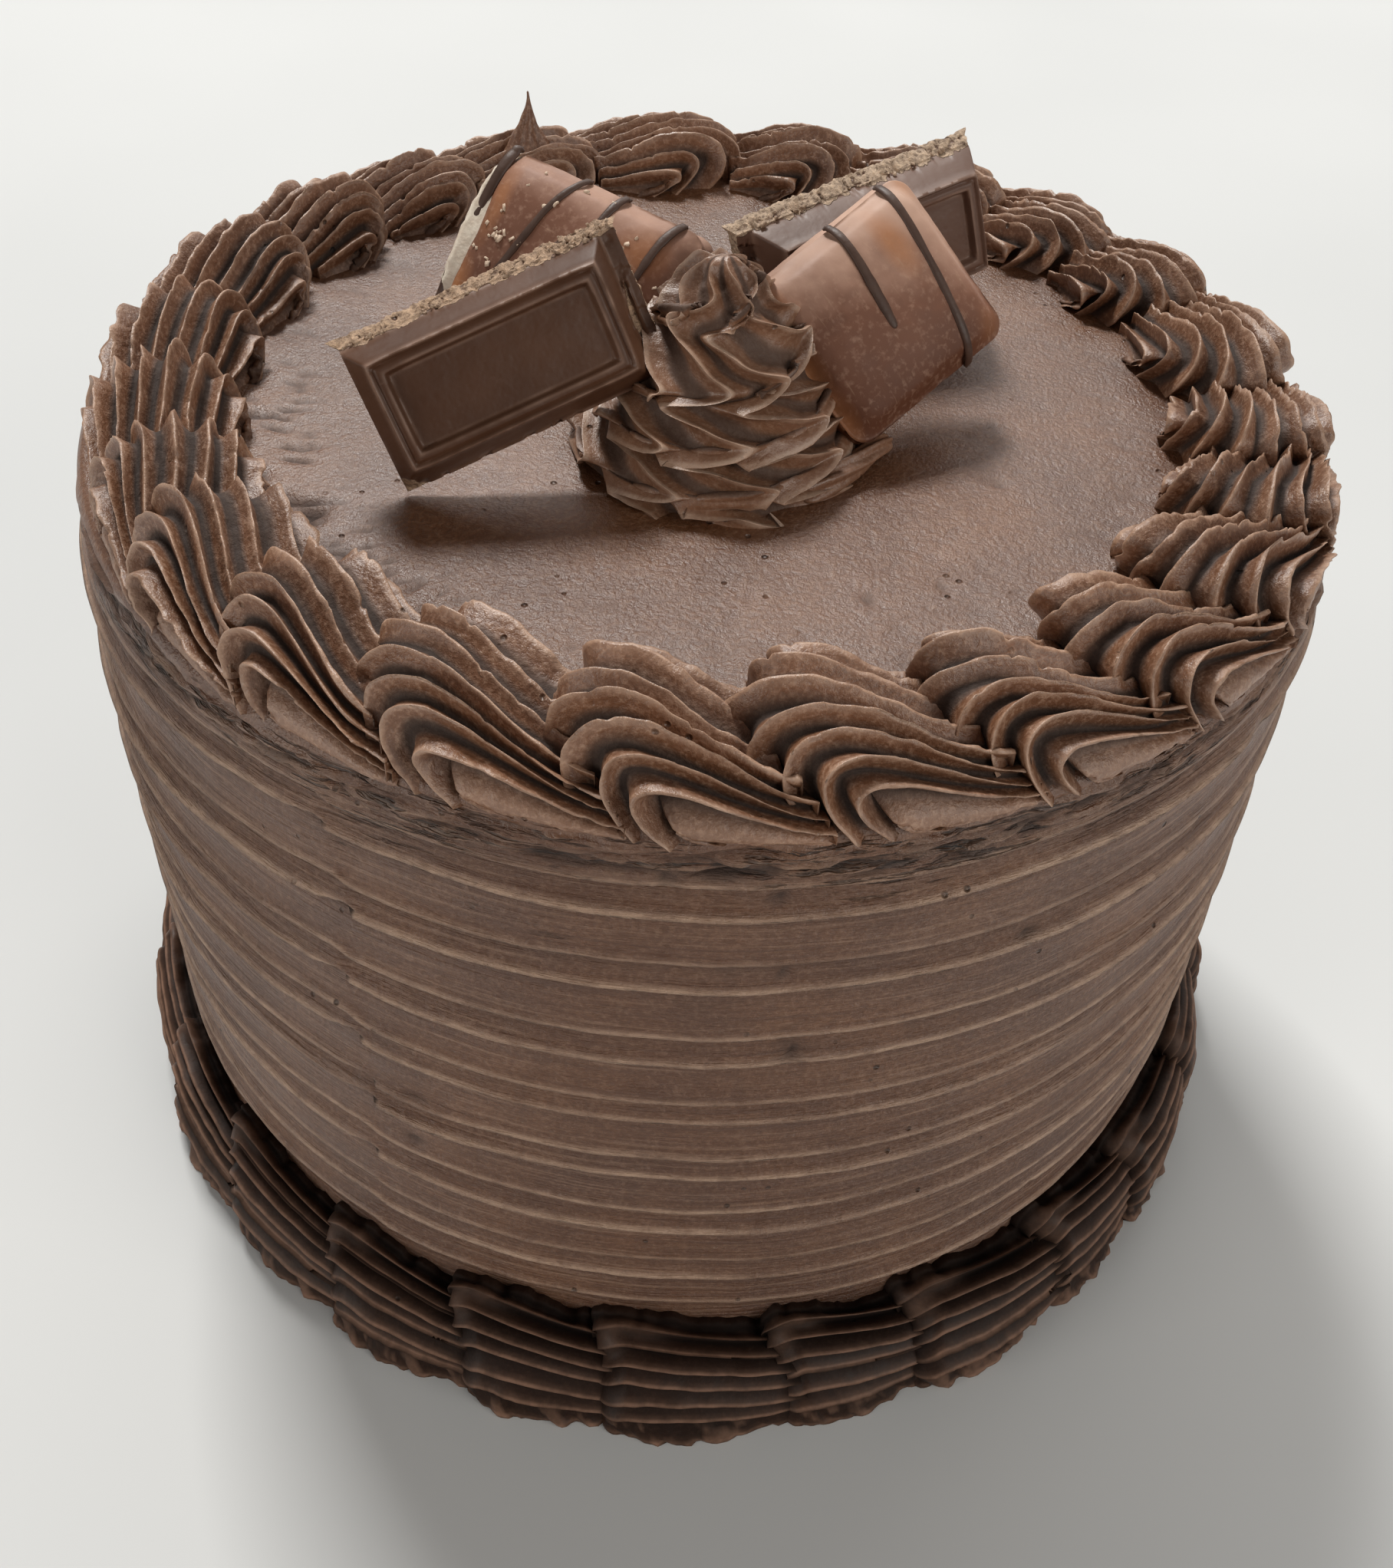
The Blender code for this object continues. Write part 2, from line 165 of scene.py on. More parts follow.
def patch_with_floor(P, floor_z, flip=False):
    """A grid patch closed underneath by a fan at the height floor_z."""
    nu, nv = P.shape[:2]
    v = P.reshape(-1, 3)
    faces = grid_faces(nu, nv)
    loop = ([j for j in range(nv)] + [i * nv + nv - 1 for i in range(1, nu)]
            + [(nu - 1) * nv + j for j in range(nv - 2, -1, -1)]
            + [i * nv for i in range(nu - 2, 0, -1)])
    loop = np.array(loop)
    under = v[loop].copy()
    under[:, 2] = np.minimum(under[:, 2], floor_z)
    middle = under.mean(0)
    n0 = len(v)
    v = np.vstack([v, under, middle[None]])
    m = len(loop)
    k = np.arange(m)
    k2 = (k + 1) % m
    wall = np.stack([loop[k2], loop[k], n0 + k, n0 + k2], -1)
    fan = np.stack([n0 + k2, n0 + k, np.full(m, n0 + m), np.full(m, -1)], -1)
    f = np.vstack([faces, wall, fan])
    if flip:
        tri = f[:, 3] < 0
        g = f[:, ::-1].copy()
        g[tri] = np.stack([f[tri, 2], f[tri, 1], f[tri, 0], f[tri, 3]], -1)
        f = g
    return v, f


def grid_normals(P, wrap_v=False):
    du = np.gradient(P, axis=0)
    if wrap_v:
        dv = 0.5 * (np.roll(P, -1, 1) - np.roll(P, 1, 1))
    else:
        dv = np.gradient(P, axis=1)
    n = np.cross(du, dv)
    length = np.linalg.norm(n, axis=-1, keepdims=True)
    return n / np.maximum(length, 1e-9)


# ---------------------------------------------------------------- materials --
class Nodes:
    """A short way to write a node material."""

    def __init__(self, name):
        self.mat = bpy.data.materials.new(name)
        self.mat.use_nodes = True
        self.tree = self.mat.node_tree
        self.tree.nodes.clear()
        self.out = self.add("ShaderNodeOutputMaterial")
        self.bsdf = self.add("ShaderNodeBsdfPrincipled")
        self.link(self.bsdf.outputs[0], self.out.inputs[0])

    def add(self, kind, **values):
        node = self.tree.nodes.new(kind)
        for key, value in values.items():
            setattr(node, key, value)
        return node

    def link(self, a, b):
        self.tree.links.new(a, b)

    def put(self, value, socket):
        if isinstance(value, bpy.types.NodeSocket):
            self.link(value, socket)
        else:
            socket.default_value = value

    def coords(self, kind="Object", scale=(1, 1, 1)):
        tc = self.add("ShaderNodeTexCoord")
        mp = self.add("ShaderNodeMapping")
        mp.inputs["Scale"].default_value = scale
        self.link(tc.outputs[kind], mp.inputs["Vector"])
        return mp.outputs["Vector"]

    def noise(self, vector, scale, detail=3.0, rough=0.5, distortion=0.0):
        n = self.add("ShaderNodeTexNoise")
        n.inputs["Scale"].default_value = scale
        n.inputs["Detail"].default_value = detail
        n.inputs["Roughness"].default_value = rough
        n.inputs["Distortion"].default_value = distortion
        self.link(vector, n.inputs["Vector"])
        return n.outputs["Fac"]

    def ramp(self, value, stops):
        r = self.add("ShaderNodeValToRGB")
        els = r.color_ramp.elements
        while len(els) < len(stops):
            els.new(0.5)
        for e, (at, colour) in zip(els, stops):
            e.position = at
            if isinstance(colour, (int, float)):
                colour = (colour, colour, colour)
            e.color = (*colour, 1.0)
        self.link(value, r.inputs["Fac"])
        return r.outputs["Color"]

    def span(self, value, low, high, to_low=0.0, to_high=1.0):
        m = self.add("ShaderNodeMapRange")
        m.inputs["From Min"].default_value = low
        m.inputs["From Max"].default_value = high
        m.inputs["To Min"].default_value = to_low
        m.inputs["To Max"].default_value = to_high
        self.link(value, m.inputs["Value"])
        return m.outputs["Result"]

    def math(self, op, a, b=0.0, clamp=False):
        m = self.add("ShaderNodeMath", operation=op, use_clamp=clamp)
        self.put(a, m.inputs[0])
        self.put(b, m.inputs[1])
        return m.outputs[0]

    def mix(self, fac, a, b, blend='MIX'):
        m = self.add("ShaderNodeMix", data_type='RGBA', blend_type=blend)
        self.put(fac, m.inputs["Factor"])
        for value, socket in ((a, m.inputs[6]), (b, m.inputs[7])):
            if isinstance(value, tuple):
                value = (*value, 1.0)
            self.put(value, socket)
        return m.outputs[2]

    def attribute(self, name):
        a = self.add("ShaderNodeAttribute", attribute_name=name)
        return a.outputs["Fac"]

    def bump(self, height, distance, strength=1.0, normal=None):
        b = self.add("ShaderNodeBump")
        b.inputs["Distance"].default_value = distance
        b.inputs["Strength"].default_value = strength
        self.link(height, b.inputs["Height"])
        if normal is not None:
            self.link(normal, b.inputs["Normal"])
        return b.outputs["Normal"]

    def finish(self, colour, roughness, normal=None, specular=0.5, sheen=0.0,
               coat=0.0, coat_rough=0.3, subsurface=0.0):
        b = self.bsdf
        self.put(colour, b.inputs["Base Color"])
        self.put(roughness, b.inputs["Roughness"])
        if normal is not None:
            self.link(normal, b.inputs["Normal"])
        b.inputs["Specular IOR Level"].default_value = specular
        b.inputs["Sheen Weight"].default_value = sheen
        b.inputs["Coat Weight"].default_value = coat
        b.inputs["Coat Roughness"].default_value = coat_rough
        if subsurface:
            b.inputs["Subsurface Weight"].default_value = subsurface
            b.inputs["Subsurface Radius"].default_value = (0.002, 0.001, 0.0006)
            b.inputs["Subsurface Scale"].default_value = 1.0
        return self.mat


def buttercream(name, base, dark, pale, deep, grain=0.00012, rough=0.50, specular=0.8,
                streaks=False, edge=0.75, mottle=1.0, lip=None):
    """Whipped chocolate icing: soft mottling, fine open grain, small air
    holes painted dark as shade, thin crests painted pale as drier icing and
    as highlight, valleys painted dark as shade and, on the sides, the drag of
    the comb; deep is the colour of the painted shade."""
    n = Nodes(name)
    v = n.coords()
    broad = n.noise(v, 55.0, 4.0, 0.55)
    fine = n.noise(v, 1500.0, 3.0, 0.7)
    mid = n.noise(v, 420.0, 3.0, 0.6)
    colour = n.mix(n.span(broad, 0.34, 0.66), dark, base)
    colour = n.mix(n.span(fine, 0.48, 0.72, 0.0, 0.80 * mottle), colour, pale)
    colour = n.mix(n.span(fine, 0.32, 0.50, 0.95 * mottle, 0.0), colour, dark)
    colour = n.mix(n.span(mid, 0.36, 0.47, 0.40, 0.0), colour, dark)
    height = n.math('ADD', n.math('MULTIPLY', fine, 1.10), n.math('MULTIPLY', mid, 0.45))
    if streaks:
        drag = n.noise(n.coords(scale=(1, 1, 24.0)), 42.0, 5.0, 0.7)
        drag2 = n.noise(n.coords(scale=(1, 1, 60.0)), 30.0, 3.0, 0.6)
        side = n.attribute("side")
        height = n.math('ADD', height, n.math('MULTIPLY', n.math('MULTIPLY', drag, side), 4.0))
        hair = n.math('MULTIPLY', n.span(drag2, 0.56, 0.70), side)
        colour = n.mix(n.math('MULTIPLY', hair, 0.60), colour, pale)
        tint = n.math('MULTIPLY', n.span(drag2, 0.46, 0.30), side)
        colour = n.mix(n.math('MULTIPLY', tint, 0.85), colour, dark)
        # tears in the torn band are pressed in and painted dark as shade
        tear = n.noise(n.coords(scale=(1, 1, 15.0)), 85.0, 4.0, 0.65)
        tear = n.math('MULTIPLY', n.span(tear, 0.56, 0.64), n.attribute("torn"))
        height = n.math('SUBTRACT', height, n.math('MULTIPLY', tear, 5.0))
        colour = n.mix(n.math('MULTIPLY', tear, 0.62), colour, deep)
    # pale crest lines: drier icing and painted highlight
    crest = n.math('MULTIPLY', n.attribute("crest"), n.span(mid, 0.34, 0.60, 0.55, 1.0))
    colour = n.mix(n.math('MULTIPLY', crest, edge), colour, lip or pale)
    # valleys, dents and the spaces under lips are painted dark as shade
    colour = n.mix(n.math('MULTIPLY', n.attribute("painted_shade"), 0.92), colour, deep)
    holes = n.add("ShaderNodeTexVoronoi")
    holes.inputs["Scale"].default_value = 300.0
    n.link(v, holes.inputs["Vector"])
    # air holes are pressed in and painted dark as shade
    pit = n.span(holes.outputs["Distance"], 0.05, 0.13, 1.0, 0.0)
    pit = n.math('MULTIPLY', pit, n.span(n.noise(v, 90.0, 2.0), 0.54, 0.64))
    height = n.math('SUBTRACT', height, n.math('MULTIPLY', pit, 3.0))
    colour = n.mix(n.math('MULTIPLY', pit, 0.75), colour, deep)
    normal = n.bump(height, grain, 1.0)
    gloss = n.span(mid, 0.3, 0.7, rough - 0.05, rough + 0.08)
    gloss = n.math('ADD', gloss, n.math('MULTIPLY', n.attribute("painted_shade"), 0.45), True)
    return n.finish(colour, gloss, normal, specular)


ICING = (0.162, 0.063, 0.0225)
ICING_DARK = (0.100, 0.0355, 0.013)
ICING_PALE = (0.310, 0.180, 0.112)
# the darkest icing tone, used only for painted shade
ICING_PAINTED_SHADE = (0.030, 0.012, 0.006)
icing_mat = buttercream("icing_combed", ICING, ICING_DARK, ICING_PALE, ICING_PAINTED_SHADE,
                        grain=0.00024, rough=0.42, specular=0.9, streaks=True, edge=1.0, mottle=0.55,
                        lip=(0.46, 0.295, 0.20))
border_mat = buttercream("icing_border", (0.225, 0.101, 0.050), (0.142, 0.059, 0.027), (0.56, 0.365, 0.255),
                         (0.016, 0.0065, 0.0032), grain=0.00017, rough=0.42, specular=0.75, edge=0.85, mottle=0.60)
rosette_mat = buttercream("icing_rosette", (0.265, 0.132, 0.074), (0.175, 0.082, 0.044),
                          (0.52, 0.36, 0.265), (0.026, 0.011, 0.006), grain=0.00012, rough=0.40, specular=0.7, edge=0.85,
                          mottle=0.35)
foot_mat = buttercream("icing_dark", (0.0235, 0.0084, 0.0037), (0.013, 0.0048, 0.0022),
                       (0.300, 0.170, 0.115), (0.0045, 0.0020, 0.0012), grain=0.00005, rough=0.50,
                       specular=0.20, edge=0.95, mottle=0.06)


# ---------------------------------------------------------------- the body ---
def build_body():
    # round the cake, closer together where the comb's seam is
    deg_knots = np.concatenate([np.arange(0, 234, 1.0), np.arange(234, 250, 0.36),
                                np.arange(250, 360, 0.78)])
    phi = np.radians(deg_knots)
    steps = len(phi)
    zs = [0.0, 0.6, 4.0, 9.0, 14.0, 18.0]
    for crest in COMB_Z:
        low = zs[-1]
        first = crest - 0.85
        count = max(1, int(round((first - low) / 1.15)))
        for k in range(1, count):
            zs.append(low + (first - low) * k / count)
        zs += [crest + dz for dz in (-0.85, -0.62, -0.40, -0.18, 0.0, 0.22, 0.50, 0.85)]
    low = zs[-1]
    for k in range(1, 14):
        zs.append(low + (BODY_H - TOP_ROUND - low) * k / 13)
    zs = np.array(zs)
    crests = np.array((14.0,) + COMB_Z + (114.0,))
    weight = np.array((0.3,) + COMB_POWER + (0.3,))

    # each tooth of the comb leaves a band that leans out downwards to a thin
    # lip; under the lip the next band starts further in
    def comb(z):
        i = np.clip(np.searchsorted(crests, z, side='right') - 1, 0, len(crests) - 2)
        lo, hi = crests[i], crests[i + 1]
        t = np.clip((z - lo) / (hi - lo), 0, 1)
        w_lo, w_hi = weight[i], weight[i + 1]
        lean = w_lo * (0.75 * (1 - t) ** 1.8)
        lip = w_lo * 0.55 * np.exp(-(z - lo) / 0.42)
        under = w_hi * (-0.75) * bell(z - (hi - 0.42), 0.34)
        soft = w_hi * (-0.35) * bell(z - (hi - 1.4), 1.2)
        lip2 = w_hi * 0.50 * np.exp(-(hi - z) / 0.10)
        return lean + lip + under + soft + lip2 - 0.15

    Z, F = np.meshgrid(zs, phi, indexing='ij')
    deg = np.degrees(F)
    # pale along each lip, as drier icing and as painted highlight; dark just under each lip and softer below it, as
    # painted shade
    pale = np.zeros_like(Z)
    dark = np.zeros_like(Z)
    for crest, power in zip(COMB_Z, COMB_POWER):
        ring0 = np.stack([np.cos(F) * 3, np.sin(F) * 3, 0 * Z + crest], -1)
        patchy = np.clip(0.80 + 0.45 * fbm(ring0 * 1.6, 3, 71), 0.15, 1.2)
        pale = pale + 1.15 * power * patchy * bell(Z - crest - 0.12, 0.32)
        dark = dark + power * (0.72 + 0.4 * noise(ring0, 73)) * bell(Z - (crest - 0.52), 0.28)
        dark = dark + power * 0.24 * bell(Z - (crest - 1.4), 1.0)
    R = BODY_R_FOOT + (BODY_R_TOP - BODY_R_FOOT) * Z / BODY_H
    fade = smooth((Z - 14.0) / 6.0) * smooth((BODY_H - 1.5 - Z) / 5.0)
    strong = 0.90 + 0.35 * noise(np.stack([np.cos(F) * 1.8, np.sin(F) * 1.8, Z * 0.13], -1), 77)
    # lips are finer and more broken on the left and the right
    side_on = 1 + 0.25 * np.abs(np.cos(F))
    R = R + fade * comb(Z) * strong * side_on
    ring = np.stack([np.cos(F) * 2.2, np.sin(F) * 2.2, Z * 0.85], -1)
    ring2 = np.stack([np.cos(F) * 3.0, np.sin(F) * 3.0, Z * 2.3], -1)
    R = R + fade * (0.10 * fbm(ring + np.array([3.1, 9.2, 0.0]), 3, 5) + 0.07 * noise(ring2, 41))
    lump = fbm(np.stack([np.cos(F) * 5, np.sin(F) * 5, Z * 0.06], -1), 3, 23)
    R = R + 0.20 * lump
    # rough dragged band under the top border
    band = smooth((Z - 105.5) / 2.0)
    rough = fbm(np.stack([np.cos(F) * 13, np.sin(F) * 13, Z * 1.9], -1), 4, 61)
    R = R + band * (0.85 * rough - 0.25)
    # the lips wander up and down, more so at the left and the right
    roam = 0.35 + 0.9 * np.abs(np.cos(F)) ** 2
    wobble = roam * 0.9 * fbm(np.stack([np.cos(F) * 1.5, np.sin(F) * 1.5, Z * 0.03], -1), 2, 91)
    wobble = wobble + roam * 0.30 * noise(np.stack([np.cos(F) * 11, np.sin(F) * 11, Z * 0.12], -1), 13)
    wobble = wobble + 0.06 * noise(np.stack([np.cos(F) * 60, np.sin(F) * 60, Z * 0.3], -1), 15)
    # the seam: lips on its left lie about a millimetre higher, and each has a
    # slanting notch
    seam = 242.5 + 1.6 * noise(np.stack([0 * Z, 0 * Z, Z * 0.09], -1), 8)
    side = deg - seam
    shift = 0.55 * (1 - np.tanh(side / 0.7)) * bell(np.minimum(side, 0), 22.0)
    for crest, power in zip(COMB_Z, COMB_POWER):
        if power < 0.8 or crest < 36:
            continue
        slant = Z - (crest - 0.14 + 0.15 * (deg - seam + 1.8))
        notch = bell(slant, 0.20) * smooth((deg - seam + 4.1) / 2.4) * smooth((seam + 0.6 - deg) / 0.7)
        R = R - 1.1 * notch
        # the notches are painted dark as shade
        dark = dark + 2.6 * notch
        pale = pale * (1 - np.clip(notch, 0, 1))
    Z2 = Z + (wobble + shift) * fade
    # small holes pressed into the icing and painted dark as shade
    for at, height, wide, tall, deep in (
            (289.8, 78.6, 0.9, 0.45, 1.1), (277.0, 103.0, 0.7, 0.5, 1.0),
            (273.8, 91.6, 0.7, 0.55, 0.9), (278.0, 91.0, 0.4, 0.4, 0.6),
            (279.3, 77.5, 1.8, 2.0, 0.35), (279.8, 76.9, 0.8, 0.5, 0.6), (278.6, 81.5, 0.9, 0.5, 0.4),
            (288.5, 90.2, 0.9, 0.35, 0.7), (298.6, 89.8, 1.4, 0.45, 0.7), (319.0, 91.0, 2.0, 0.45, 0.8),
            (313.8, 38.2, 0.8, 0.8, 1.0), (308.2, 28.2, 0.5, 0.7, 0.8), (284.5, 26.2, 0.5, 0.4, 0.8),
            (236.4, 27.9, 0.9, 0.5, 0.9), (232.2, 88.6, 1.5, 0.35, 0.8), (231.0, 78.6, 1.0, 0.5, 0.4),
            (220.5, 103.0, 1.6, 0.5, 0.9), (225.8, 104.2, 0.9, 0.4, 0.7), (230.5, 98.3, 0.8, 0.6, 0.5),
            (272.5, 106.6, 2.6, 0.55, 1.3), (269.0, 106.2, 0.8, 0.9, 0.9), (283.5, 106.0, 2.4, 0.35, 0.7),
            (290.0, 106.3, 1.8, 0.4, 0.7), (296.5, 107.4, 1.5, 0.5, 0.8), (254.0, 107.5, 2.2, 0.4, 0.6),
            (324.0, 101.7, 2.4, 0.4, 0.8), (247.5, 57.5, 1.6, 0.25, 0.5), (246.8, 47.0, 1.6, 0.3, 0.7)):
        hole = bell((deg - at) * 1.43, wide) * bell(Z2 - height, tall)
        R = R - deep * hole
        dark = dark + 1.3 * deep * hole
    # in the rough band under the top border the dents are painted dark as shade and the bumps pale as highlight
    dark = dark + 1.15 * band * smooth((-0.06 - rough) / 0.24)
    pale = pale + band * 0.55 * smooth((rough - 0.22) / 0.30)
    patch = fbm(np.stack([np.cos(F) * 5, np.sin(F) * 5, Z * 0.25], -1), 2, 67)
    torn_at = smooth((Z - 101.5) / 5.0) * (0.75 + 0.7 * patch) + 0.6 * smooth((patch - 0.38) / 0.2) * smooth((Z - 90.0) / 8.0)
    torn_at = np.clip(torn_at * smooth((BODY_H - 0.5 - Z) / 2.0), 0, 1)
    side_rows = np.stack([R * np.cos(F), R * np.sin(F), Z2], -1)

    # the rounded edge and the top
    top_rows = []
    top_painted_shade = []
    rings = [(BODY_R_TOP - TOP_ROUND * (1 - cos(a)), BODY_H - TOP_ROUND * (1 - sin(a)))
             for a in np.radians((25, 50, 75, 90))]
    radii = list(np.linspace(BODY_R_TOP - TOP_ROUND - 1.2, 2.0, 52))
    rings += [(r, BODY_H) for r in radii]
    for r, z in rings:
        flat = 1.0 if z > BODY_H - 0.01 else 0.3
        x, y = r * np.cos(phi), r * np.sin(phi)
        p = np.stack([x, y, np.zeros_like(x)], -1)
        dz = 0.14 * fbm(p * 0.045, 3, 201) + 0.05 * fbm(p * 0.22, 2, 203)
        # marks of the smoothing blade
        blade = 0.10 * noise(np.stack([(x + 0.5 * y) * 0.10, (y - 0.5 * x) * 0.02, 0 * x], -1), 207)
        sweep = 0.16 * smooth((x - 6.0 - 0.25 * (y + 45)) / 1.2) * smooth((-34.0 - y) / 8.0)
        dz = flat * (dz + blade + sweep)
        shade = np.zeros_like(x)
        if r < 66.0:
            torn = smooth((r - 48.0) / 8.0) * smooth((68.0 - r) / 5.0)
            torn = torn * (0.22 + 0.95 * np.exp(-((np.degrees(phi) - 208.0) / 26.0) ** 2))
            crack = fbm(np.stack([x * 0.30, y * 1.1, 0 * x], -1), 3, 211)
            dz = dz - 0.75 * torn * smooth((crack - 0.34) / 0.22)
            # the cracks are painted dark as shade
            shade = shade + 0.9 * torn * smooth((crack - 0.36) / 0.24)
        for px, py, wide, deep in ((-46.5, -32.0, 1.5, 1.0), (-43.0, -37.5, 0.9, 0.6),
                                   (36.5, -16.5, 0.8, 0.7), (28.0, -38.5, 0.6, 0.7),
                                   (19.5, -42.0, 0.6, 0.7), (34.5, -6.0, 0.9, 0.4),
                                   (33.8, -35.0, 0.7, 0.6), (-40.0, -43.5, 0.8, 0.4)):
            spot = np.exp(-((x - px) ** 2 + (y - py) ** 2) / wide ** 2)
            dz = dz - deep * spot
            # each dent is painted dark as shade
            shade = shade + deep * spot
        top_painted_shade.append(shade)
        top_rows.append(np.stack([x, y, z + dz], -1))
    P = np.concatenate([side_rows, np.array(top_rows)], 0)
    nu = P.shape[0]
    v = P.reshape(-1, 3)
    side_mask = np.concatenate([smooth((110.5 - zs) / 1.5), np.zeros(len(top_rows))])
    side_mask = np.repeat(side_mask, steps)
    f = grid_faces(nu, steps, wrap_v=True)
    n0 = len(v)
    v = np.vstack([v, [[0, 0, 0.0]], [[0, 0, BODY_H]]])
    k = np.arange(steps)
    k2 = (k + 1) % steps
    bottom = np.stack([k2, k, np.full(steps, n0), np.full(steps, -1)], -1)
    top0 = (nu - 1) * steps
    crown = np.stack([top0 + k, top0 + k2, np.full(steps, n0 + 1), np.full(steps, -1)], -1)
    mask = np.concatenate([side_mask, [0, 0]])
    flat_rows = np.zeros(len(top_rows) * steps + 2)
    pale = np.concatenate([np.clip(pale * fade, 0, 1).ravel(), flat_rows])
    dark = np.concatenate([np.clip(dark * fade, 0, 1).ravel(),
                           np.clip(np.array(top_painted_shade), 0, 1).ravel(), [0, 0]])
    return new_object("cake_body_iced", v, np.vstack([f, bottom, crown]), icing_mat,
                      ["cake_body"],
                      attributes={"side": mask, "crest": pale, "painted_shade": dark,
                                  "torn": np.concatenate([torn_at.ravel(), flat_rows])})


# ---------------------------------------------------------------- top border -
def shell_height(middle_deg):
    a = radians(middle_deg)
    h = 9.4 - 1.4 * sin(a)
    for place, drop, wide in ((50.0, 1.6, 20.0), (133.0, 1.9, 9.0)):
        h -= drop * np.exp(-((middle_deg - place) / wide) ** 2)
    return h


def cusp_spacing(ridges, per):
    """Places across the shell, closer together near each ridge's crest."""
    q = (1 - np.cos(np.pi * np.arange(per) / per)) / 2
    return np.concatenate([[k + x for x in q] for k in range(ridges)] + [[ridges]]) / ridges


def build_top_shell(i):
    """One shell: every ridge starts at the shell's foot, goes up and over the
    head and falls to the tail, so the ridges are nested arcs; the lowest one
    on the outer side curls round an eye above a smooth lip."""
    start = TOP_AT[i]
    end = TOP_AT[(i + 1) % len(TOP_AT)]
    end += 360 if end < start else 0
    span = end - start
    middle = start + span / 2
    rng = np.random.RandomState(700 + i)
    front = max(0.0, -sin(radians(middle)))
    H = shell_height(middle % 360) * (1 + 0.04 * rng.uniform(-1, 1)) - 1.1
    if i == PEAK_SHELL:
        H = 5.2
    reach = 78.9 + 2.3 * front + 0.8 * cos(radians(middle))
    r_in0 = 60.2
    mid, half = 0.5 * (r_in0 + reach), 0.5 * (reach - r_in0)

    # where the ridges lie across the shell, -1 inner toe to 1 outer toe
    low_front = np.array([-0.79, -0.56, -0.30, -0.06, 0.15, 0.32, 0.49, 0.68])
    even = np.array([-0.74, -0.52, -0.30, -0.09, 0.11, 0.31, 0.50, 0.69])
    crest = front * low_front + (1 - front) * even
    crest = crest + 0.02 * rng.uniform(-1, 1, crest.shape)
    per = 10
    g = (1 - np.cos(np.pi * np.arange(per) / per)) / 2
    c = []
    edges = np.concatenate([[-1.0], crest, [1.0]])
    for a, b in zip(edges, edges[1:]):
        c += list(a + (b - a) * g)
    c = np.array(c + [1.0])
    q = np.interp(c, np.concatenate([[-1.0], crest, [crest[-1] + 0.11, 1.0]]),
                  np.concatenate([[-0.55], np.arange(8), [7.5, 7.62]]))
    n_head, n_tail = ((22, 34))

    # the section at the head's crest, even along its outline
    th = np.linspace(0, pi, 400)
    sx, sz = -np.cos(th) * half, np.sin(th) ** 0.66 * H
    run = np.concatenate([[0], np.cumsum(np.hypot(np.diff(sx), np.diff(sz)))])
    th_c = np.interp((c + 1) / 2 * run[-1], run, th)
    r_c = mid - half * np.cos(th_c)
    z_c = H * np.sin(th_c) ** 0.66 - 1.2 * smooth((c - 0.72) / 0.28) * (0.35 + 0.65 * front)

    k = span / 15.6
    a = np.abs(c) * np.where(c < 0, 1 - 0.28 * front, 1.0)
    g_c = (5.2 + 6.3 * a ** 1.5 + 1.2 * c) * k
    g_f = (1.2 + 13.4 * a) * k
    x = (9.8 - 6.2 * a) * k
    r_f = mid + half * np.sin(pi / 2 * np.clip(1.9 * c, -1, 1))
    z_f = np.full_like(c, -0.9) - 0.6 * front * (c > 0.2)
    P0 = np.stack([g_f, r_f, z_f], -1)
    P1 = np.stack([g_f - 0.40 * x, r_f + 0.25 * (r_c - r_f), z_f + 0.50 * (z_c - z_f)], -1)
    P2 = np.stack([g_c - 0.60 * x, r_c + 0.12 * (r_f - r_c), z_c], -1)
    P3 = np.stack([g_c, r_c, z_c], -1)
    t = np.linspace(0, 1, n_head)[:, None, None]
    head = P0 * (1 - t) ** 3 + 3 * P1 * t * (1 - t) ** 2 + 3 * P2 * t ** 2 * (1 - t) + P3 * t ** 3

    knots = np.array([-1, -0.79, -0.56, -0.30, -0.06, 0.15, 0.32, 0.49, 0.68, 1.0])
    r_front = np.interp(c, knots, (61.5, 62.4, 65.4, 70.8, 75.2, 78.4, 79.9, 80.5, 80.9, 81.2))
    z_front = np.interp(c, knots, (-0.6, 1.4, 3.2, 4.2, 4.3, 3.7, 2.4, 1.2, 0.2, -1.3))
    r_even = mid + 0.8 + 0.90 * half * np.sin(pi / 2 * c)
    z_even = 0.50 * H * np.sin(th_c) ** 0.7 - 0.6 * (np.abs(c) > 0.97)
    skew = smooth(front * 1.25)
    r_t = skew * r_front + (1 - skew) * r_even
    z_t = (skew * z_front + (1 - skew) * z_even) * (H / 8.3)
    over = np.interp(c, (-1, -0.56, -0.3, -0.06, 0.15, 0.32, 0.5, 0.7, 1.0),
                     (1.2, 1.6, 2.0, 2.6, 4.2, 5.6, 6.3, 6.8, 7.0)) * (0.55 + 0.45 * skew)
    v = (np.arange(1, n_tail + 1) / n_tail)[:, None]
    fall = 0.30 * v + 0.70 * smooth(v)
    tail = np.stack([g_c + (span + over - g_c) * v + 0 * c,
                     r_c + (r_t - r_c) * (0.4 * v + 0.6 * smooth(v)),
                     z_c + (z_t - z_c) * fall], -1)
    G = np.concatenate([head, tail], 0)
    wave = 0.35 * noise(np.stack([G[..., 1] * 0.12, G[..., 0] * 0.10, 0 * G[..., 0] + i * 3.3], -1), 301)
    ang = np.radians(start + G[..., 0] + wave)
    base = np.stack([G[..., 1] * np.cos(ang), G[..., 1] * np.sin(ang), BODY_H + G[..., 2]], -1)
    n = grid_normals(base)
    if n[len(n) // 2, len(c) // 2, 2] < 0:
        n = -n
    nh = len(head)
    uu = np.concatenate([np.linspace(0, 0.3, nh), 0.3 + 0.7 * v[:, 0]])[:, None]
    cc = c[None, :] + 0 * uu
    uu = uu + 0 * cc

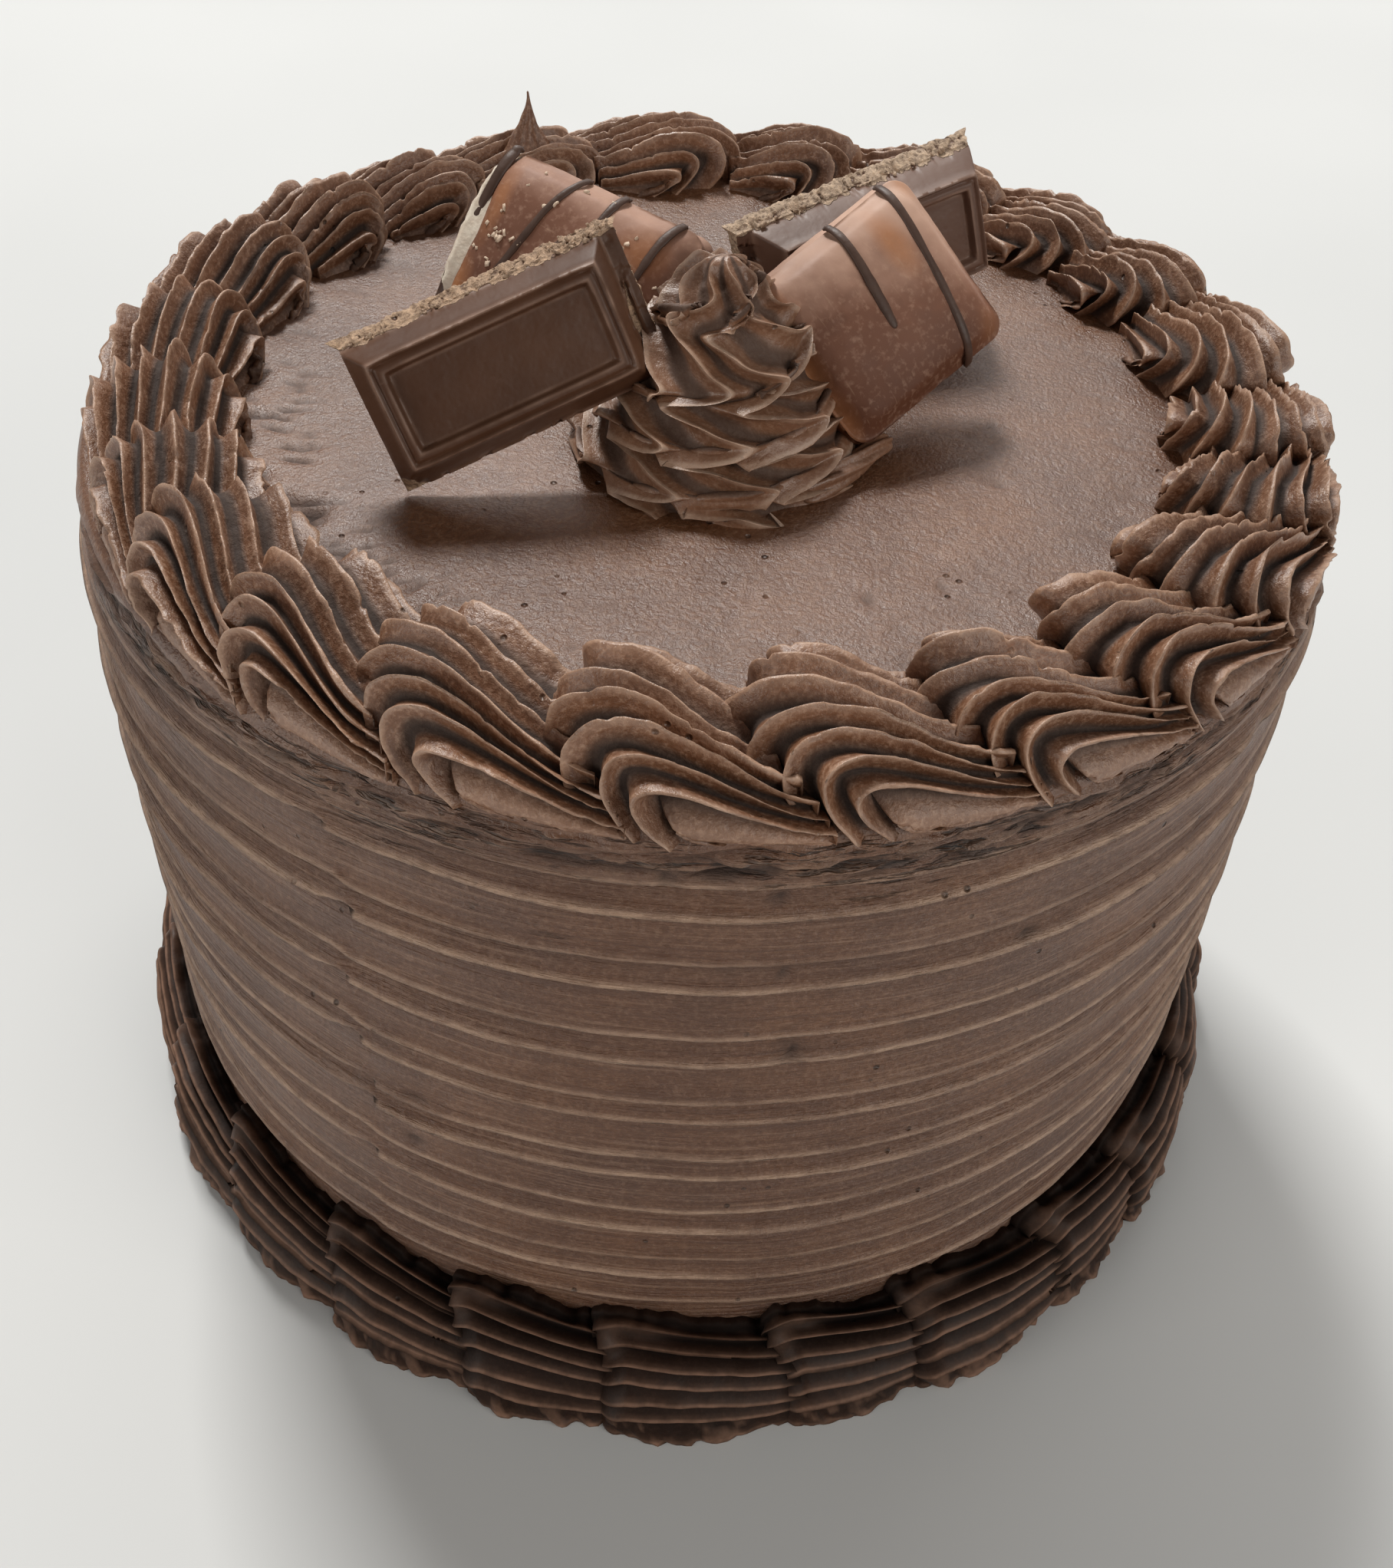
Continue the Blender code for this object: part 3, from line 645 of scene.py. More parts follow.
    qq = q[None, :] + 0.10 * noise(np.stack([uu * 3.0, cc * 3.0, 0 * cc + i * 5.1], -1), 311)
    fin = 1.03 - (np.sin(pi * qq) ** 2 + 0.004) ** 0.42
    which = np.round(q).astype(np.int64)
    own = 0.90 + 0.18 * lattice(which, np.full_like(which, i), np.zeros_like(which), 5)
    ragged = 1 + 0.14 * noise(base * 0.5, 321 + i)
    deep = (2.1 + 1.2 * smooth(uu / 0.10)) * (1 - 0.34 * smooth((uu - 0.45) / 0.55))
    edge = smooth((1 + cc) / 0.16) * smooth((0.97 - cc) / 0.20)
    d = deep * (fin * own[None, :] * ragged - 0.46) * (0.12 + 0.88 * edge)
    # the dark eye under the lowest ridge of the head, and the lip below it
    at_head = smooth((uu - 0.03) / 0.08) * (1 - smooth((uu - 0.30) / 0.25))
    eye = bell(cc - (crest[-1] + 0.105), 0.045)
    d = d - 1.3 * eye * (0.25 + 0.75 * at_head)
    d = d + 0.85 * bell(cc - 0.90, 0.085) * smooth((uu - 0.10) / 0.15) * (1 - 0.5 * uu)
    # torn crumbs of icing at the tail, small tears along the fins
    torn = smooth((uu - 0.72) / 0.25)
    d = d + 0.42 * torn * fbm(base * 0.75, 2, 331) + 0.10 * fbm(base * 0.5, 2, 341)
    tear = smooth((noise(base * np.array([0.9, 0.9, 0.9]), 347) - 0.55) / 0.25)
    d = d - 0.5 * tear * (fin > 0.5) * (uu > 0.12) + 0.06 * noise(base * 1.9, 351)
    P = base + n * d[..., None]
    # ragged lower edge of the lip
    hem = 0.35 * fbm(np.stack([ang[:, -1] * 60, 0 * ang[:, -1], 0 * ang[:, -1] + i], -1), 2, 361)
    P[nh // 2:, -1, 2] += hem[nh // 2:]
    P[..., 2] = np.maximum(P[..., 2], BODY_H - 3.4)
    P[0, :, 2] = np.minimum(P[0, :, 2], BODY_H - 0.6)
    P[:, 0, 2] = np.minimum(P[:, 0, 2], BODY_H - 0.5)
    verts, faces = patch_with_floor(P, BODY_H - 0.9)
    # pale along the fin crests, as drier icing and as painted highlight, and along the lip
    pale_crest_and_highlight = smooth((fin - 0.66) / 0.28) * (0.15 + 0.85 * edge) * (1 - eye)
    pale_crest_and_highlight = pale_crest_and_highlight * (0.75 + 0.35 * noise(base * 0.6, 371)) * (1 - 0.5 * (cc > crest[-1] + 0.02))
    pale_crest_and_highlight = pale_crest_and_highlight + 0.30 * bell(cc - 0.90, 0.085)
    # the valleys between the fins and the eye are painted dark as shade
    painted_shade_at = smooth((0.33 - fin) / 0.25) * edge * (0.55 + 0.45 * smooth(uu / 0.06)) * (cc < crest[-1])
    painted_shade_at = np.maximum(painted_shade_at, 0.95 * eye)
    spare = np.zeros(len(verts) - P.shape[0] * P.shape[1])
    ob = new_object("top_border_shell_%02d" % (i + 1), verts, faces, border_mat,
                    ["top_shell_%02d" % (i + 1)],
                    attributes={"crest": np.concatenate([np.clip(pale_crest_and_highlight, 0, 1).ravel(), spare]),
                                "painted_shade": np.concatenate([np.clip(painted_shade_at, 0, 1).ravel(), spare])})
    fix_normals(ob)
    return ob


def fix_normals(ob):
    import bmesh
    bm = bmesh.new()
    bm.from_mesh(ob.data)
    bmesh.ops.recalc_face_normals(bm, faces=bm.faces)
    bm.to_mesh(ob.data)
    bm.free()


def build_peak():
    """The point the last shell was pulled up to: a thin curled cone with the
    shell's ridges running up it."""
    n_u, n_a = 60, 40
    t = np.linspace(0, 1, n_u)
    deg = 115.0 + 0.9 * smooth(t * 1.1) + 0.5 * np.sin(t * 5.0)
    r = 71.0 + 1.4 * t
    z = BODY_H + 1.0 + 11.6 * t
    spine = np.stack([r * np.cos(np.radians(deg)), r * np.sin(np.radians(deg)), z], -1)
    wide = 6.6 * (1 - t) ** 1.75 + 0.16
    a = np.arange(n_a) / n_a * 2 * pi
    ridge = 1 + 0.34 * (np.abs(np.cos(2.5 * a[None, :] + 1.3 * t[:, None])) - 0.5)
    P = spine[:, None, :].repeat(n_a, 1)
    tang = np.array([-sin(radians(114)), cos(radians(114)), 0])
    outw = np.array([cos(radians(114)), sin(radians(114)), 0])
    P = P + tang * (np.cos(a)[None, :, None] * (wide[:, None] * ridge)[..., None] * 0.95)
    P = P + outw * (np.sin(a)[None, :, None] * (wide[:, None] * ridge)[..., None] * 0.75)
    P = P + 0.25 * np.stack([noise(P * 0.6, 381), noise(P * 0.6, 382), noise(P * 0.6, 383)], -1) * (1 - t)[:, None, None]
    verts = P.reshape(-1, 3)
    f = grid_faces(n_u, n_a, wrap_v=True)
    n0 = len(verts)
    verts = np.vstack([verts, P[0].mean(0)[None], P[-1].mean(0)[None] + [[0, 0, 0.2]]])
    k = np.arange(n_a)
    k2 = (k + 1) % n_a
    b = (n_u - 1) * n_a
    ends = np.vstack([np.stack([k2, k, np.full(n_a, n0), np.full(n_a, -1)], -1),
                      np.stack([b + k, b + k2, np.full(n_a, n0 + 1), np.full(n_a, -1)], -1)])
    ob = new_object("top_border_peak", verts, np.vstack([f, ends]), border_mat, ())
    fix_normals(ob)


# ---------------------------------------------------------------- foot border
def build_foot_shell(i):
    """A foot shell: long thin ridges that lean over like shingles, smooth
    lumps against the wall at its head, and a thin ragged hem at the bottom."""
    start = FOOT_AT[i]
    end = FOOT_AT[(i + 1) % len(FOOT_AT)]
    end += 360 if end < start else 0
    span = end - start
    middle = start + span / 2
    rng = np.random.RandomState(900 + i)
    ridges = 7
    step = (0.0, 0.05, 0.11, 0.18, 0.27, 0.42, 0.60, 0.78, 0.90, 0.96)
    # the ridges aren't evenly far apart
    at = np.arange(ridges + 1) / ridges
    at[1:-1] += rng.uniform(-0.020, 0.020, ridges - 1)
    q = np.array([k + f for k in range(ridges) for f in step] + [float(ridges)])
    t = np.interp(q, np.arange(ridges + 1), at)
    nu = 46
    u = np.linspace(0, 1, nu) ** 1.25
    U, Tt = np.meshgrid(u, t, indexing='ij')
    Q = np.broadcast_to(q, U.shape)
    left = max(0.0, -cos(radians(middle)))
    out = FOOT_OUT * (1 - FOOT_THIN_LEFT * left) * (1 + 0.05 * rng.uniform(-1, 1))
    fan = 0.30 * (U - 0.45) * Tt * (1 - Tt) * (1.6 - Tt)
    V = Tt + fan + 0.045 * Tt * (1 - Tt) * noise(np.stack([U * 2.2, Tt * 4.0, 0 * U + i * 4.3], -1), 411)
    head = np.sqrt(np.clip(1 - (1 - np.clip(U / 0.09, 0, 1)) ** 2, 0, 1))
    swell = (0.80 + 0.20 * head) * (1 - 0.15 * smooth((U - 0.15) / 0.85))
    lift = (0.90 + 0.10 * head) * (1 - 0.16 * smooth((U - 0.10) / 0.90))
    high = 20.5 * lift * (1 + 0.04 * rng.uniform(-1, 1))
    a = 0.5 * pi * np.clip(V, 0, 1)
    wall = BODY_R_FOOT - 0.6
    r = wall + 1.2 + (out - 1.3) * swell * np.sin(a) ** 0.80
    z = high * np.cos(a) ** 0.84
    hook = 1 - smooth(U / 0.14)
    deg = start + span * (U * 1.14 - 0.02) + 2.6 * np.sin(a) - 1.3
    deg = deg + 0.9 * noise(np.stack([0 * U + i * 3.7, V * 3.2, 0 * U], -1), 417) * (1 - U)
    z = z - 2.5 * hook * np.sin(2 * a)
    base = np.stack([r * np.cos(np.radians(deg)), r * np.sin(np.radians(deg)), z], -1)
    n = grid_normals(base)
    outward = base.copy()
    outward[..., 2] = 0
    if (n * outward).sum(-1).mean() < 0:
        n = -n
    f = Q - np.floor(Q)
    profile = np.where(f < 0.20, 0.5 * (1 + np.cos(pi * f / 0.20)), (np.clip(f - 0.20, 0, 1) / 0.80) ** 1.7)
    which = np.ceil(Q - 1e-6).astype(np.int64)
    own = 0.85 + 0.25 * lattice(which, np.full_like(which, i), np.zeros_like(which), 6)
    deep = (1.3 + 1.1 * smooth(U / 0.10)) * (1 - 0.20 * smooth((U - 0.7) / 0.3))
    low = smooth((Tt - 0.80) / 0.20)
    lumps = bell(U - 0.20, 0.16) * bell(Tt - 0.13, 0.10)
    lump2 = bell(U - 0.05, 0.07) * bell(Tt - 0.28, 0.12)
    flat = 1 - 0.75 * np.clip(lumps + lump2, 0, 1)
    ragged = 1 + 0.10 * noise(base * 0.30, 421 + i)
    d = deep * (profile * own * ragged - 0.45) * (1 - 0.45 * low) * flat
    along = deg * 1.45
    folds = fbm(np.stack([along * 0.50 + z * 0.42, z * 0.25, 0 * z + i * 2.7], -1), 3, 431)
    d = d + low * (0.60 * folds + 0.9 * bell(U - 0.42, 0.30) - 0.2)
    d = d + 1.0 * lumps + 0.7 * lump2
    d = d + 0.05 * fbm(base * 0.5, 2, 441) + 0.25 * smooth((U - 0.80) / 0.20) * noise(base * 0.9, 451)
    P = base + n * d[..., None]
    P[..., 2] -= 0.75 * np.clip(profile - 0.45, 0, 1) * smooth(Tt / 0.15) * flat * (1 - low)
    # pale lines along each ridge, on the tops of the low folds and on the lumps by the wall: painted highlight
    crest = np.where(f < 0.5, np.exp(-(f / 0.05) ** 2), np.exp(-((1 - f) / 0.075) ** 2))
    crest = crest + 0.05 * np.clip(f - 0.55, 0, 1) / 0.45
    crest = crest * flat * (1 - 0.5 * low) * smooth(Tt / 0.10) * (0.55 + 0.45 * smooth(U / 0.10))
    crest = crest + low * 0.5 * smooth((folds - 0.15) / 0.3)
    crest = crest + 0.28 * np.clip(lumps + lump2, 0, 1)
    # the grooves, the start of the head and the tail under the next shell are painted dark as shade
    painted_shade = bell(f - 0.30, 0.30) * flat * (1 - 0.6 * low)
    painted_shade = np.maximum(painted_shade, 0.8 * (1 - head) * (1 - low))
    painted_shade = np.maximum(painted_shade, smooth((U - 0.84) / 0.12) * 0.95)
    keep = smooth(Tt / 0.08)
    P = base * (1 - keep[..., None]) + P * keep[..., None]
    # the upper rim is torn and swirled where it meets the wall
    rim = (1 - smooth(Tt / 0.16))
    P[..., 2] += rim * (1.1 * fbm(np.stack([deg * 0.6, 0 * deg, 0 * deg + i * 1.7], -1), 3, 471) - 0.4)
    P[..., 2] = np.maximum(P[..., 2], 0.05)
    P[:, -1, 2] = 0.0
    back_top = np.stack([(wall - 1.2) * np.cos(np.radians(deg[:, :1])),
                         (wall - 1.2) * np.sin(np.radians(deg[:, :1])),
                         P[:, :1, 2] - 0.6], -1)
    back_low = back_top.copy()
    back_low[..., 2] = 0.0
    P = np.concatenate([back_low, back_top, P], 1)
    nu, nv = P.shape[:2]
    pad = np.zeros((nu, 2))
    crest = np.concatenate([pad, crest], 1).ravel()
    painted_shade = np.concatenate([pad, painted_shade], 1).ravel()
    verts = P.reshape(-1, 3)
    faces = [grid_faces(nu, nv, wrap_v=True)]
    count = len(verts)
    ends = []
    for row in (0, nu - 1):
        ring = np.arange(nv) + row * nv
        verts = np.vstack([verts, verts[ring].mean(0)[None]])
        k = np.arange(nv)
        ends.append(np.stack([ring, ring[(k + 1) % nv], np.full(nv, count), np.full(nv, -1)], -1))
        count += 1
    ob = new_object("foot_border_shell_%02d" % (i + 1), verts, np.vstack(faces + ends), foot_mat,
                    ["foot_shell_%02d" % (i + 1)],
                    attributes={"crest": np.concatenate([crest, [0, 0]]),
                                "painted_shade": np.concatenate([painted_shade, [1, 1]])})
    fix_normals(ob)
    return ob


# ---------------------------------------------------------------- rosette ----
def build_rosette():
    """The rosette: nine thin ridges that climb it in wide sideways folds, so
    each turn of the bag leaves a tier of ruffles."""
    nt, per = ((190, 38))
    count = 9
    t = np.linspace(0, 1, nt)
    gap = (1 - np.cos(pi * np.arange(per) / per)) / 2
    ridge = np.concatenate([k + gap for k in range(count)])
    na = len(ridge)
    T, Q = np.meshgrid(t, ridge, indexing='ij')
    A0 = Q / count * 2 * pi
    H, R0 = 26.4, 18.2
    z = H * (1 - (1 - T) ** 1.10)
    r = R0 * (1 - T) ** 0.80 * (1 + 0.02 * np.sin(pi * T)) + 1.0 * T
    tiers = 4.2
    wave = tiers * (1 - (1 - T) ** 1.62) - Q / count
    wave = wave + 0.13 * noise(np.stack([np.cos(A0) * 1.5, np.sin(A0) * 1.5, T * 5], -1), 503)
    ph = 2 * pi * wave
    wob = 0.20 * noise(np.stack([np.cos(A0) * 1.9, np.sin(A0) * 1.9, T * 8], -1), 501)
    pitch = 2 * pi * np.maximum(r, 3.0) / count
    swing = np.clip((6.4 - 3.4 * T ** 0.7) / pitch, 0, 0.68)
    swing = swing * (0.95 + 0.35 * noise(np.stack([np.cos(A0) * 2.5, np.sin(A0) * 2.5, T * 4], -1), 507))
    meander = swing * np.sin(ph + 0.70 * np.sin(ph))
    slope = np.abs(np.cos(ph + 0.70 * np.sin(ph)) * (1 + 0.70 * np.cos(ph))) / 1.70
    A = A0 + 2 * pi / count * (meander - 1.26 * T - wob)
    bulge = 0.5 + 0.5 * np.cos(2 * pi * (wave - 0.10))
    r = r * (0.95 + 0.09 * bulge * (1 - 0.6 * T))
    base = np.stack([ROSETTE_AT[0] + r * np.cos(A), ROSETTE_AT[1] + r * np.sin(A),
                     BODY_H - 0.3 + z], -1)
    n = grid_normals(base, wrap_v=True)
    out = base - np.array([ROSETTE_AT[0], ROSETTE_AT[1], BODY_H])
    out[..., 2] = 0
    if (n * out).sum(-1).mean() < 0:
        n = -n
    s = np.abs(np.sin(pi * Q))
    fin = 1.10 - (s ** 2 + 0.003) ** 0.33
    which = np.round(Q).astype(np.int64) % count
    own = 0.92 + 0.22 * noise(np.stack([which * 3.1, T * 6.0, 0 * T], -1), 511)
    deep = (4.2 - 1.5 * T) * (1 - 0.42 * slope * (1 - 0.6 * T)) * smooth((1 - T) / 0.10)
    deep = deep * (0.60 + 0.40 * smooth(T / 0.04))
    d = deep * (fin * own - 0.46)
    # loose folds and torn icing towards the top
    loose = smooth((T - 0.62) / 0.25)
    d = d + (0.12 + 0.38 * loose) * fbm(base * 0.38, 2, 521) + 0.04 * noise(base * 1.7, 531)
    P = base + n * d[..., None]
    # the fins hang over a little
    P[..., 2] -= 0.8 * np.clip(fin - 0.35, 0, 1) * (1 - T) ** 0.5
    P[..., 2] = np.maximum(P[..., 2], BODY_H - 0.35)
    lean = 0.05 * (fin - 0.4) * (1 - T)
    x, y = P[..., 0] - ROSETTE_AT[0], P[..., 1] - ROSETTE_AT[1]
    P[..., 0] = ROSETTE_AT[0] + x * np.cos(lean) - y * np.sin(lean)
    P[..., 1] = ROSETTE_AT[1] + x * np.sin(lean) + y * np.cos(lean)
    # pale along the fin crests, fading towards the top: painted highlight
    crest = smooth((fin - 0.68) / 0.18) * (0.85 + 0.35 * noise(base * 0.5, 541)) * (1 - 0.45 * smooth((T - 0.70) / 0.25))
    # the valleys between the fins are painted dark as shade
    painted_shade = smooth((0.32 - fin) / 0.20) * 0.75
    verts = P.reshape(-1, 3)
    faces = grid_faces(nt, na, wrap_v=True)
    n0 = len(verts)
    verts = np.vstack([verts, [[ROSETTE_AT[0], ROSETTE_AT[1], BODY_H - 0.3]],
                       P[-1].mean(0)[None]])
    k = np.arange(na)
    k2 = (k + 1) % na
    bottom = np.stack([k2, k, np.full(na, n0), np.full(na, -1)], -1)
    top0 = (nt - 1) * na
    crown = np.stack([top0 + k, top0 + k2, np.full(na, n0 + 1), np.full(na, -1)], -1)
    ob = new_object("rosette_piped", verts, np.vstack([faces, bottom, crown]), rosette_mat,
                    ["rosette"],
                    attributes={"crest": np.concatenate([crest.ravel(), [0, 0]]),
                                "painted_shade": np.concatenate([painted_shade.ravel(), [0, 0]])})
    fix_normals(ob)
    return ob


# ---------------------------------------------------------------- placing ----
def placed(pose):
    z = Vector(pose["face"]).normalized()
    x = Vector(pose["along"])
    x = (x - z * x.dot(z)).normalized()
    y = z.cross(x)
    m = Matrix((x, y, z)).transposed().to_4x4()
    m.translation = Vector(pose["at"]) * MM
    return m


# ---------------------------------------------------------------- bars -------
def bar_material(name, base, dark, crumb):
    n = Nodes(name)
    v = n.coords()
    broad = n.noise(v, 90.0, 3.0, 0.5)
    fine = n.noise(v, 900.0, 3.0, 0.6)
    colour = n.mix(n.span(broad, 0.3, 0.7), dark, base)
    scuff = n.noise(n.coords(scale=(1, 3.5, 1)), 260.0, 4.0, 0.7)
    colour = n.mix(n.span(scuff, 0.62, 0.80, 0.0, 0.45), colour, (0.17, 0.105, 0.078))
    # paler along rubbed edges and the frame's lines: wear and painted highlight
    colour = n.mix(n.math('MULTIPLY', n.attribute("worn"), 0.75), colour, (0.30, 0.19, 0.14))
    # where the piece was broken off, the inside is paler, rough and crumbly
    mask = n.attribute("broken")
    grain = n.noise(v, 1400.0, 4.0, 0.7)
    inside = n.ramp(grain, [(0.30, (crumb[0] * 0.30, crumb[1] * 0.26, crumb[2] * 0.24)),
                            (0.48, crumb), (0.70, (crumb[0] * 1.5, crumb[1] * 1.5, crumb[2] * 1.45))])
    edge = n.math('ADD', mask, n.span(n.noise(v, 600.0, 3.0), 0.3, 0.7, -0.22, 0.22))
    edge = n.span(edge, 0.42, 0.58)
    colour = n.mix(edge, colour, inside)
    height = n.math('ADD', n.math('MULTIPLY', fine, 0.12),
                    n.math('MULTIPLY', n.math('MULTIPLY', grain, edge), 3.0))
    normal = n.bump(height, 0.00022, 1.0)
    rough = n.math('ADD', n.span(edge, 0.0, 1.0, 0.42, 0.75), n.span(scuff, 0.4, 0.8, 0.0, 0.16))
    return n.finish(colour, rough, normal, 0.32)


def build_bar(name, node, pose, mat, seed, break_y=True, break_x=1, sliver=False):
    """A snapped bar piece: base plate, leaning sides, bead, raised frame and
    bare sunk panel; the top edge and one end are broken faces."""
    nx, ny = ((210, 112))
    x = np.linspace(-BAR_L / 2, BAR_L / 2, nx)
    y = np.linspace(-BAR_W / 2, BAR_W / 2, ny)
    X, Y = np.meshgrid(x, y, indexing='ij')
    # the frame isn't in the middle: the broken end keeps more of the base
    dx = BAR_L / 2 - np.abs(X) - 1.7 * (X * (break_x or 1) > 0)
    dx = dx + 0.5 * (X * (break_x or 1) < 0)
    dy = BAR_W / 2 - np.abs(Y)
    dx = np.where(dx < 0, dx * 0.2, dx)
    k = 1.1                                      # rounding where the sides meet
    d = np.minimum(dx, dy) - 0.25 * k * np.exp(-np.abs(dx - dy) / k) * 0.6
    plate = BAR_PLATE
    top = BAR_T

    def step(x0, wide):
        return smooth((d - x0) / wide)
    slope = np.clip((d - 0.35) / (BAR_SLOPE - 0.35), 0, 1)
    Z = plate + (top - plate) * (0.06 * step(0.1, 0.3) + 0.86 * slope ** 0.92 + 0.08 * step(BAR_SLOPE - 0.5, 0.7))
    # a bead runs round the foot of the frame
    Z = Z - 0.30 * bell(d - (BAR_SLOPE + 0.55), 0.22)
    Z = Z + 0.06 * bell(d - (BAR_SLOPE + 0.15), 0.25)
    inner = BAR_SLOPE + 1.55
    Z = Z - 1.0 * step(inner, 0.55)
    Z = Z + 0.12 * step(inner + 1.0, 3.0)
    p = np.stack([X, Y, np.zeros_like(X)], -1)
    Z = Z + 0.035 * fbm(p * 0.35, 3, seed) + 0.012 * noise(p * 3.0, seed + 3)
    # chips along the outer edge
    chip = smooth((0.9 - d) / 0.9) * smooth((fbm(p * 0.8, 3, seed + 9) - 0.15) / 0.4)
    if sliver:
        chip = chip * (1 - 0.85 * smooth((X - 14.4) / 1.0))
    Z = Z - 0.9 * chip * (plate / 3.0)
    # a thin sliver lifted off the base at the broken end, with its inside bare
    along = np.clip((3.9 - Y) / 9.3, 0, 1)
    swell = np.sin(pi * along ** 1.35) * (1.0 if sliver else 0.0)
    middle = 16.35 - 0.72 * swell
    bare = smooth((0.50 * swell - np.abs(X - middle)) / 0.16) * (swell > 0.02)
    Z = Z - 0.30 * bare
    Z = Z + 0.42 * smooth(swell / 0.3) * bell(X - (middle - 0.50 * swell - 0.16), 0.15)
    Z = Z + 0.22 * smooth(swell / 0.3) * bell(X - (middle + 0.50 * swell + 0.16), 0.15)
    corner = np.exp(-((X + BAR_L / 2) ** 2 + (Y + BAR_W / 2) ** 2) / 2.2 ** 2)
    Z = Z - 1.6 * corner * (0.5 + 0.5 * noise(p * 1.4, seed + 12))
    top_grid = np.stack([X, Y, Z], -1)
    broken = 0.75 * smooth((corner - 0.25) / 0.4) + 0.35 * chip + 0.85 * bare
    if break_y:
        near = BAR_W / 2 - Y + 0.30 * fbm(p * 0.9, 3, seed + 31)
        broken = np.maximum(broken, 0.9 * smooth((0.50 - near) / 0.35))
    # paler lines along the frame's edges, the bead and the outer foot: rubbed edges and painted highlight
    worn = 1.0 * bell(d - (BAR_SLOPE + 0.05), 0.22) + 0.80 * bell(d - (inner - 0.10), 0.19)
    worn = worn + 0.7 * bell(d - 0.22, 0.22) + 0.50 * bell(d - (inner + 0.62), 0.18)
    worn = worn * (0.7 + 0.5 * fbm(p * 0.5, 2, seed + 41))
    loop = ([(i, 0) for i in range(nx)] + [(nx - 1, j) for j in range(1, ny)]
            + [(i, ny - 1) for i in range(nx - 2, -1, -1)] + [(0, j) for j in range(ny - 2, 0, -1)])
    idx = np.array([i * ny + j for i, j in loop])
    verts = [top_grid.reshape(-1, 3)]
    mask = [broken.ravel()]
    wear_and_highlight = np.clip(worn, 0, 1).ravel()
    edge_pts = verts[0][idx]
    m = len(idx)
    levels = 12
    side_of = np.zeros(m)                        # 1 on the broken faces
    if break_y:
        side_of = np.maximum(side_of, (edge_pts[:, 1] > BAR_W / 2 - 0.01) * 1.0)
    if break_x:
        side_of = np.maximum(side_of, (edge_pts[:, 0] * break_x > BAR_L / 2 - 0.01) * 1.0)
    outward = np.stack([(np.abs(edge_pts[:, 0]) > BAR_L / 2 - 0.01) * np.sign(edge_pts[:, 0]),
                        (np.abs(edge_pts[:, 1]) > BAR_W / 2 - 0.01) * np.sign(edge_pts[:, 1]),
                        np.zeros(m)], -1)
    faces = [grid_faces(nx, ny)]
    prev = idx
    total = nx * ny
    for lv in range(1, levels + 1):
        tt = lv / levels
        ring = edge_pts.copy()
        ring[:, 2] = edge_pts[:, 2] * (1 - tt)
        q = ring * 1.3
        rough = fbm(q, 3, seed + 21)
        amount = side_of * (0.12 + 0.32 * rough + 1.5 * tt * (outward[:, 1] > 0.5)) + (1 - side_of) * (0.04 * rough)
        env = sin(pi * min(0.98, tt + 0.04)) ** 0.4
        ring = ring + outward * (amount * env)[:, None]
        ring[:, 2] += side_of * 0.25 * noise(q * 1.3, seed + 25) * env * (tt < 0.99)
        verts.append(ring)
        mask.append(side_of * (0.72 + 0.25 * rough))
        cur = total + np.arange(m)
        kk = np.arange(m)
        k2 = (kk + 1) % m
        faces.append(np.stack([prev[k2], prev[kk], cur[kk], cur[k2]], -1))
        prev = cur
        total += m
    # the smooth back starts just inside the broken edge
    ring = edge_pts.copy()
    ring[:, 0] *= 1 - 0.5 / (BAR_L / 2)
    ring[:, 1] *= 1 - 0.5 / (BAR_W / 2)
    ring[:, 2] = 0.0
    verts.append(ring)
    mask.append(np.zeros(m))
    cur = total + np.arange(m)
    kk = np.arange(m)
    k2 = (kk + 1) % m
    faces.append(np.stack([prev[k2], prev[kk], cur[kk], cur[k2]], -1))
    prev = cur
    total += m
    verts.append(np.array([[0, 0, 0.0]]))
    mask.append(np.array([0.0]))
    kk = np.arange(m)
    faces.append(np.stack([prev[(kk + 1) % m], prev[kk], np.full(m, total), np.full(m, -1)], -1))
    ob = new_object(name, np.vstack(verts), np.vstack(faces), mat, [node],
                    placed(pose),
                    attributes={"broken": np.concatenate(mask),
                                "worn": np.concatenate([wear_and_highlight, np.zeros(total + 1 - len(wear_and_highlight))])})
    ob.data.set_sharp_from_angle(angle=radians(50))
    fix_normals(ob)
    return ob


# ---------------------------------------------------------------- pillows ----
def rounded_ring(length, width, radius, n):
    """n points round a rounded rectangle, evenly spaced."""
    radius = min(radius, 0.49 * min(length, width))
    a, b = length / 2 - radius, width / 2 - radius
    per = 4 * (a + b) + 2 * pi * radius
    out = []
    for k in range(n):
        s = per * k / n
        # start at the middle of the right side and go round
        lengths = (b, pi * radius / 2, 2 * a, pi * radius / 2, 2 * b, pi * radius / 2,
                   2 * a, pi * radius / 2, b)
        seg = 0
        while seg < 8 and s > lengths[seg]:
            s -= lengths[seg]
            seg += 1
        if seg == 0:
            p = (a + radius, s)
        elif seg == 1:
            g = s / radius
            p = (a + radius * cos(g), b + radius * sin(g))
        elif seg == 2:
            p = (a - s, b + radius)
        elif seg == 3:
            g = pi / 2 + s / radius
            p = (-a + radius * cos(g), b + radius * sin(g))
        elif seg == 4:
            p = (-a - radius, b - s)
        elif seg == 5:
            g = pi + s / radius
            p = (-a + radius * cos(g), -b + radius * sin(g))
        elif seg == 6:
            p = (-a + s, -b - radius)
        elif seg == 7:
            g = 1.5 * pi + s / radius
            p = (a + radius * cos(g), -b + radius * sin(g))
        else:
            p = (a + radius, -b + s)
        out.append(p)
    return np.array(out)


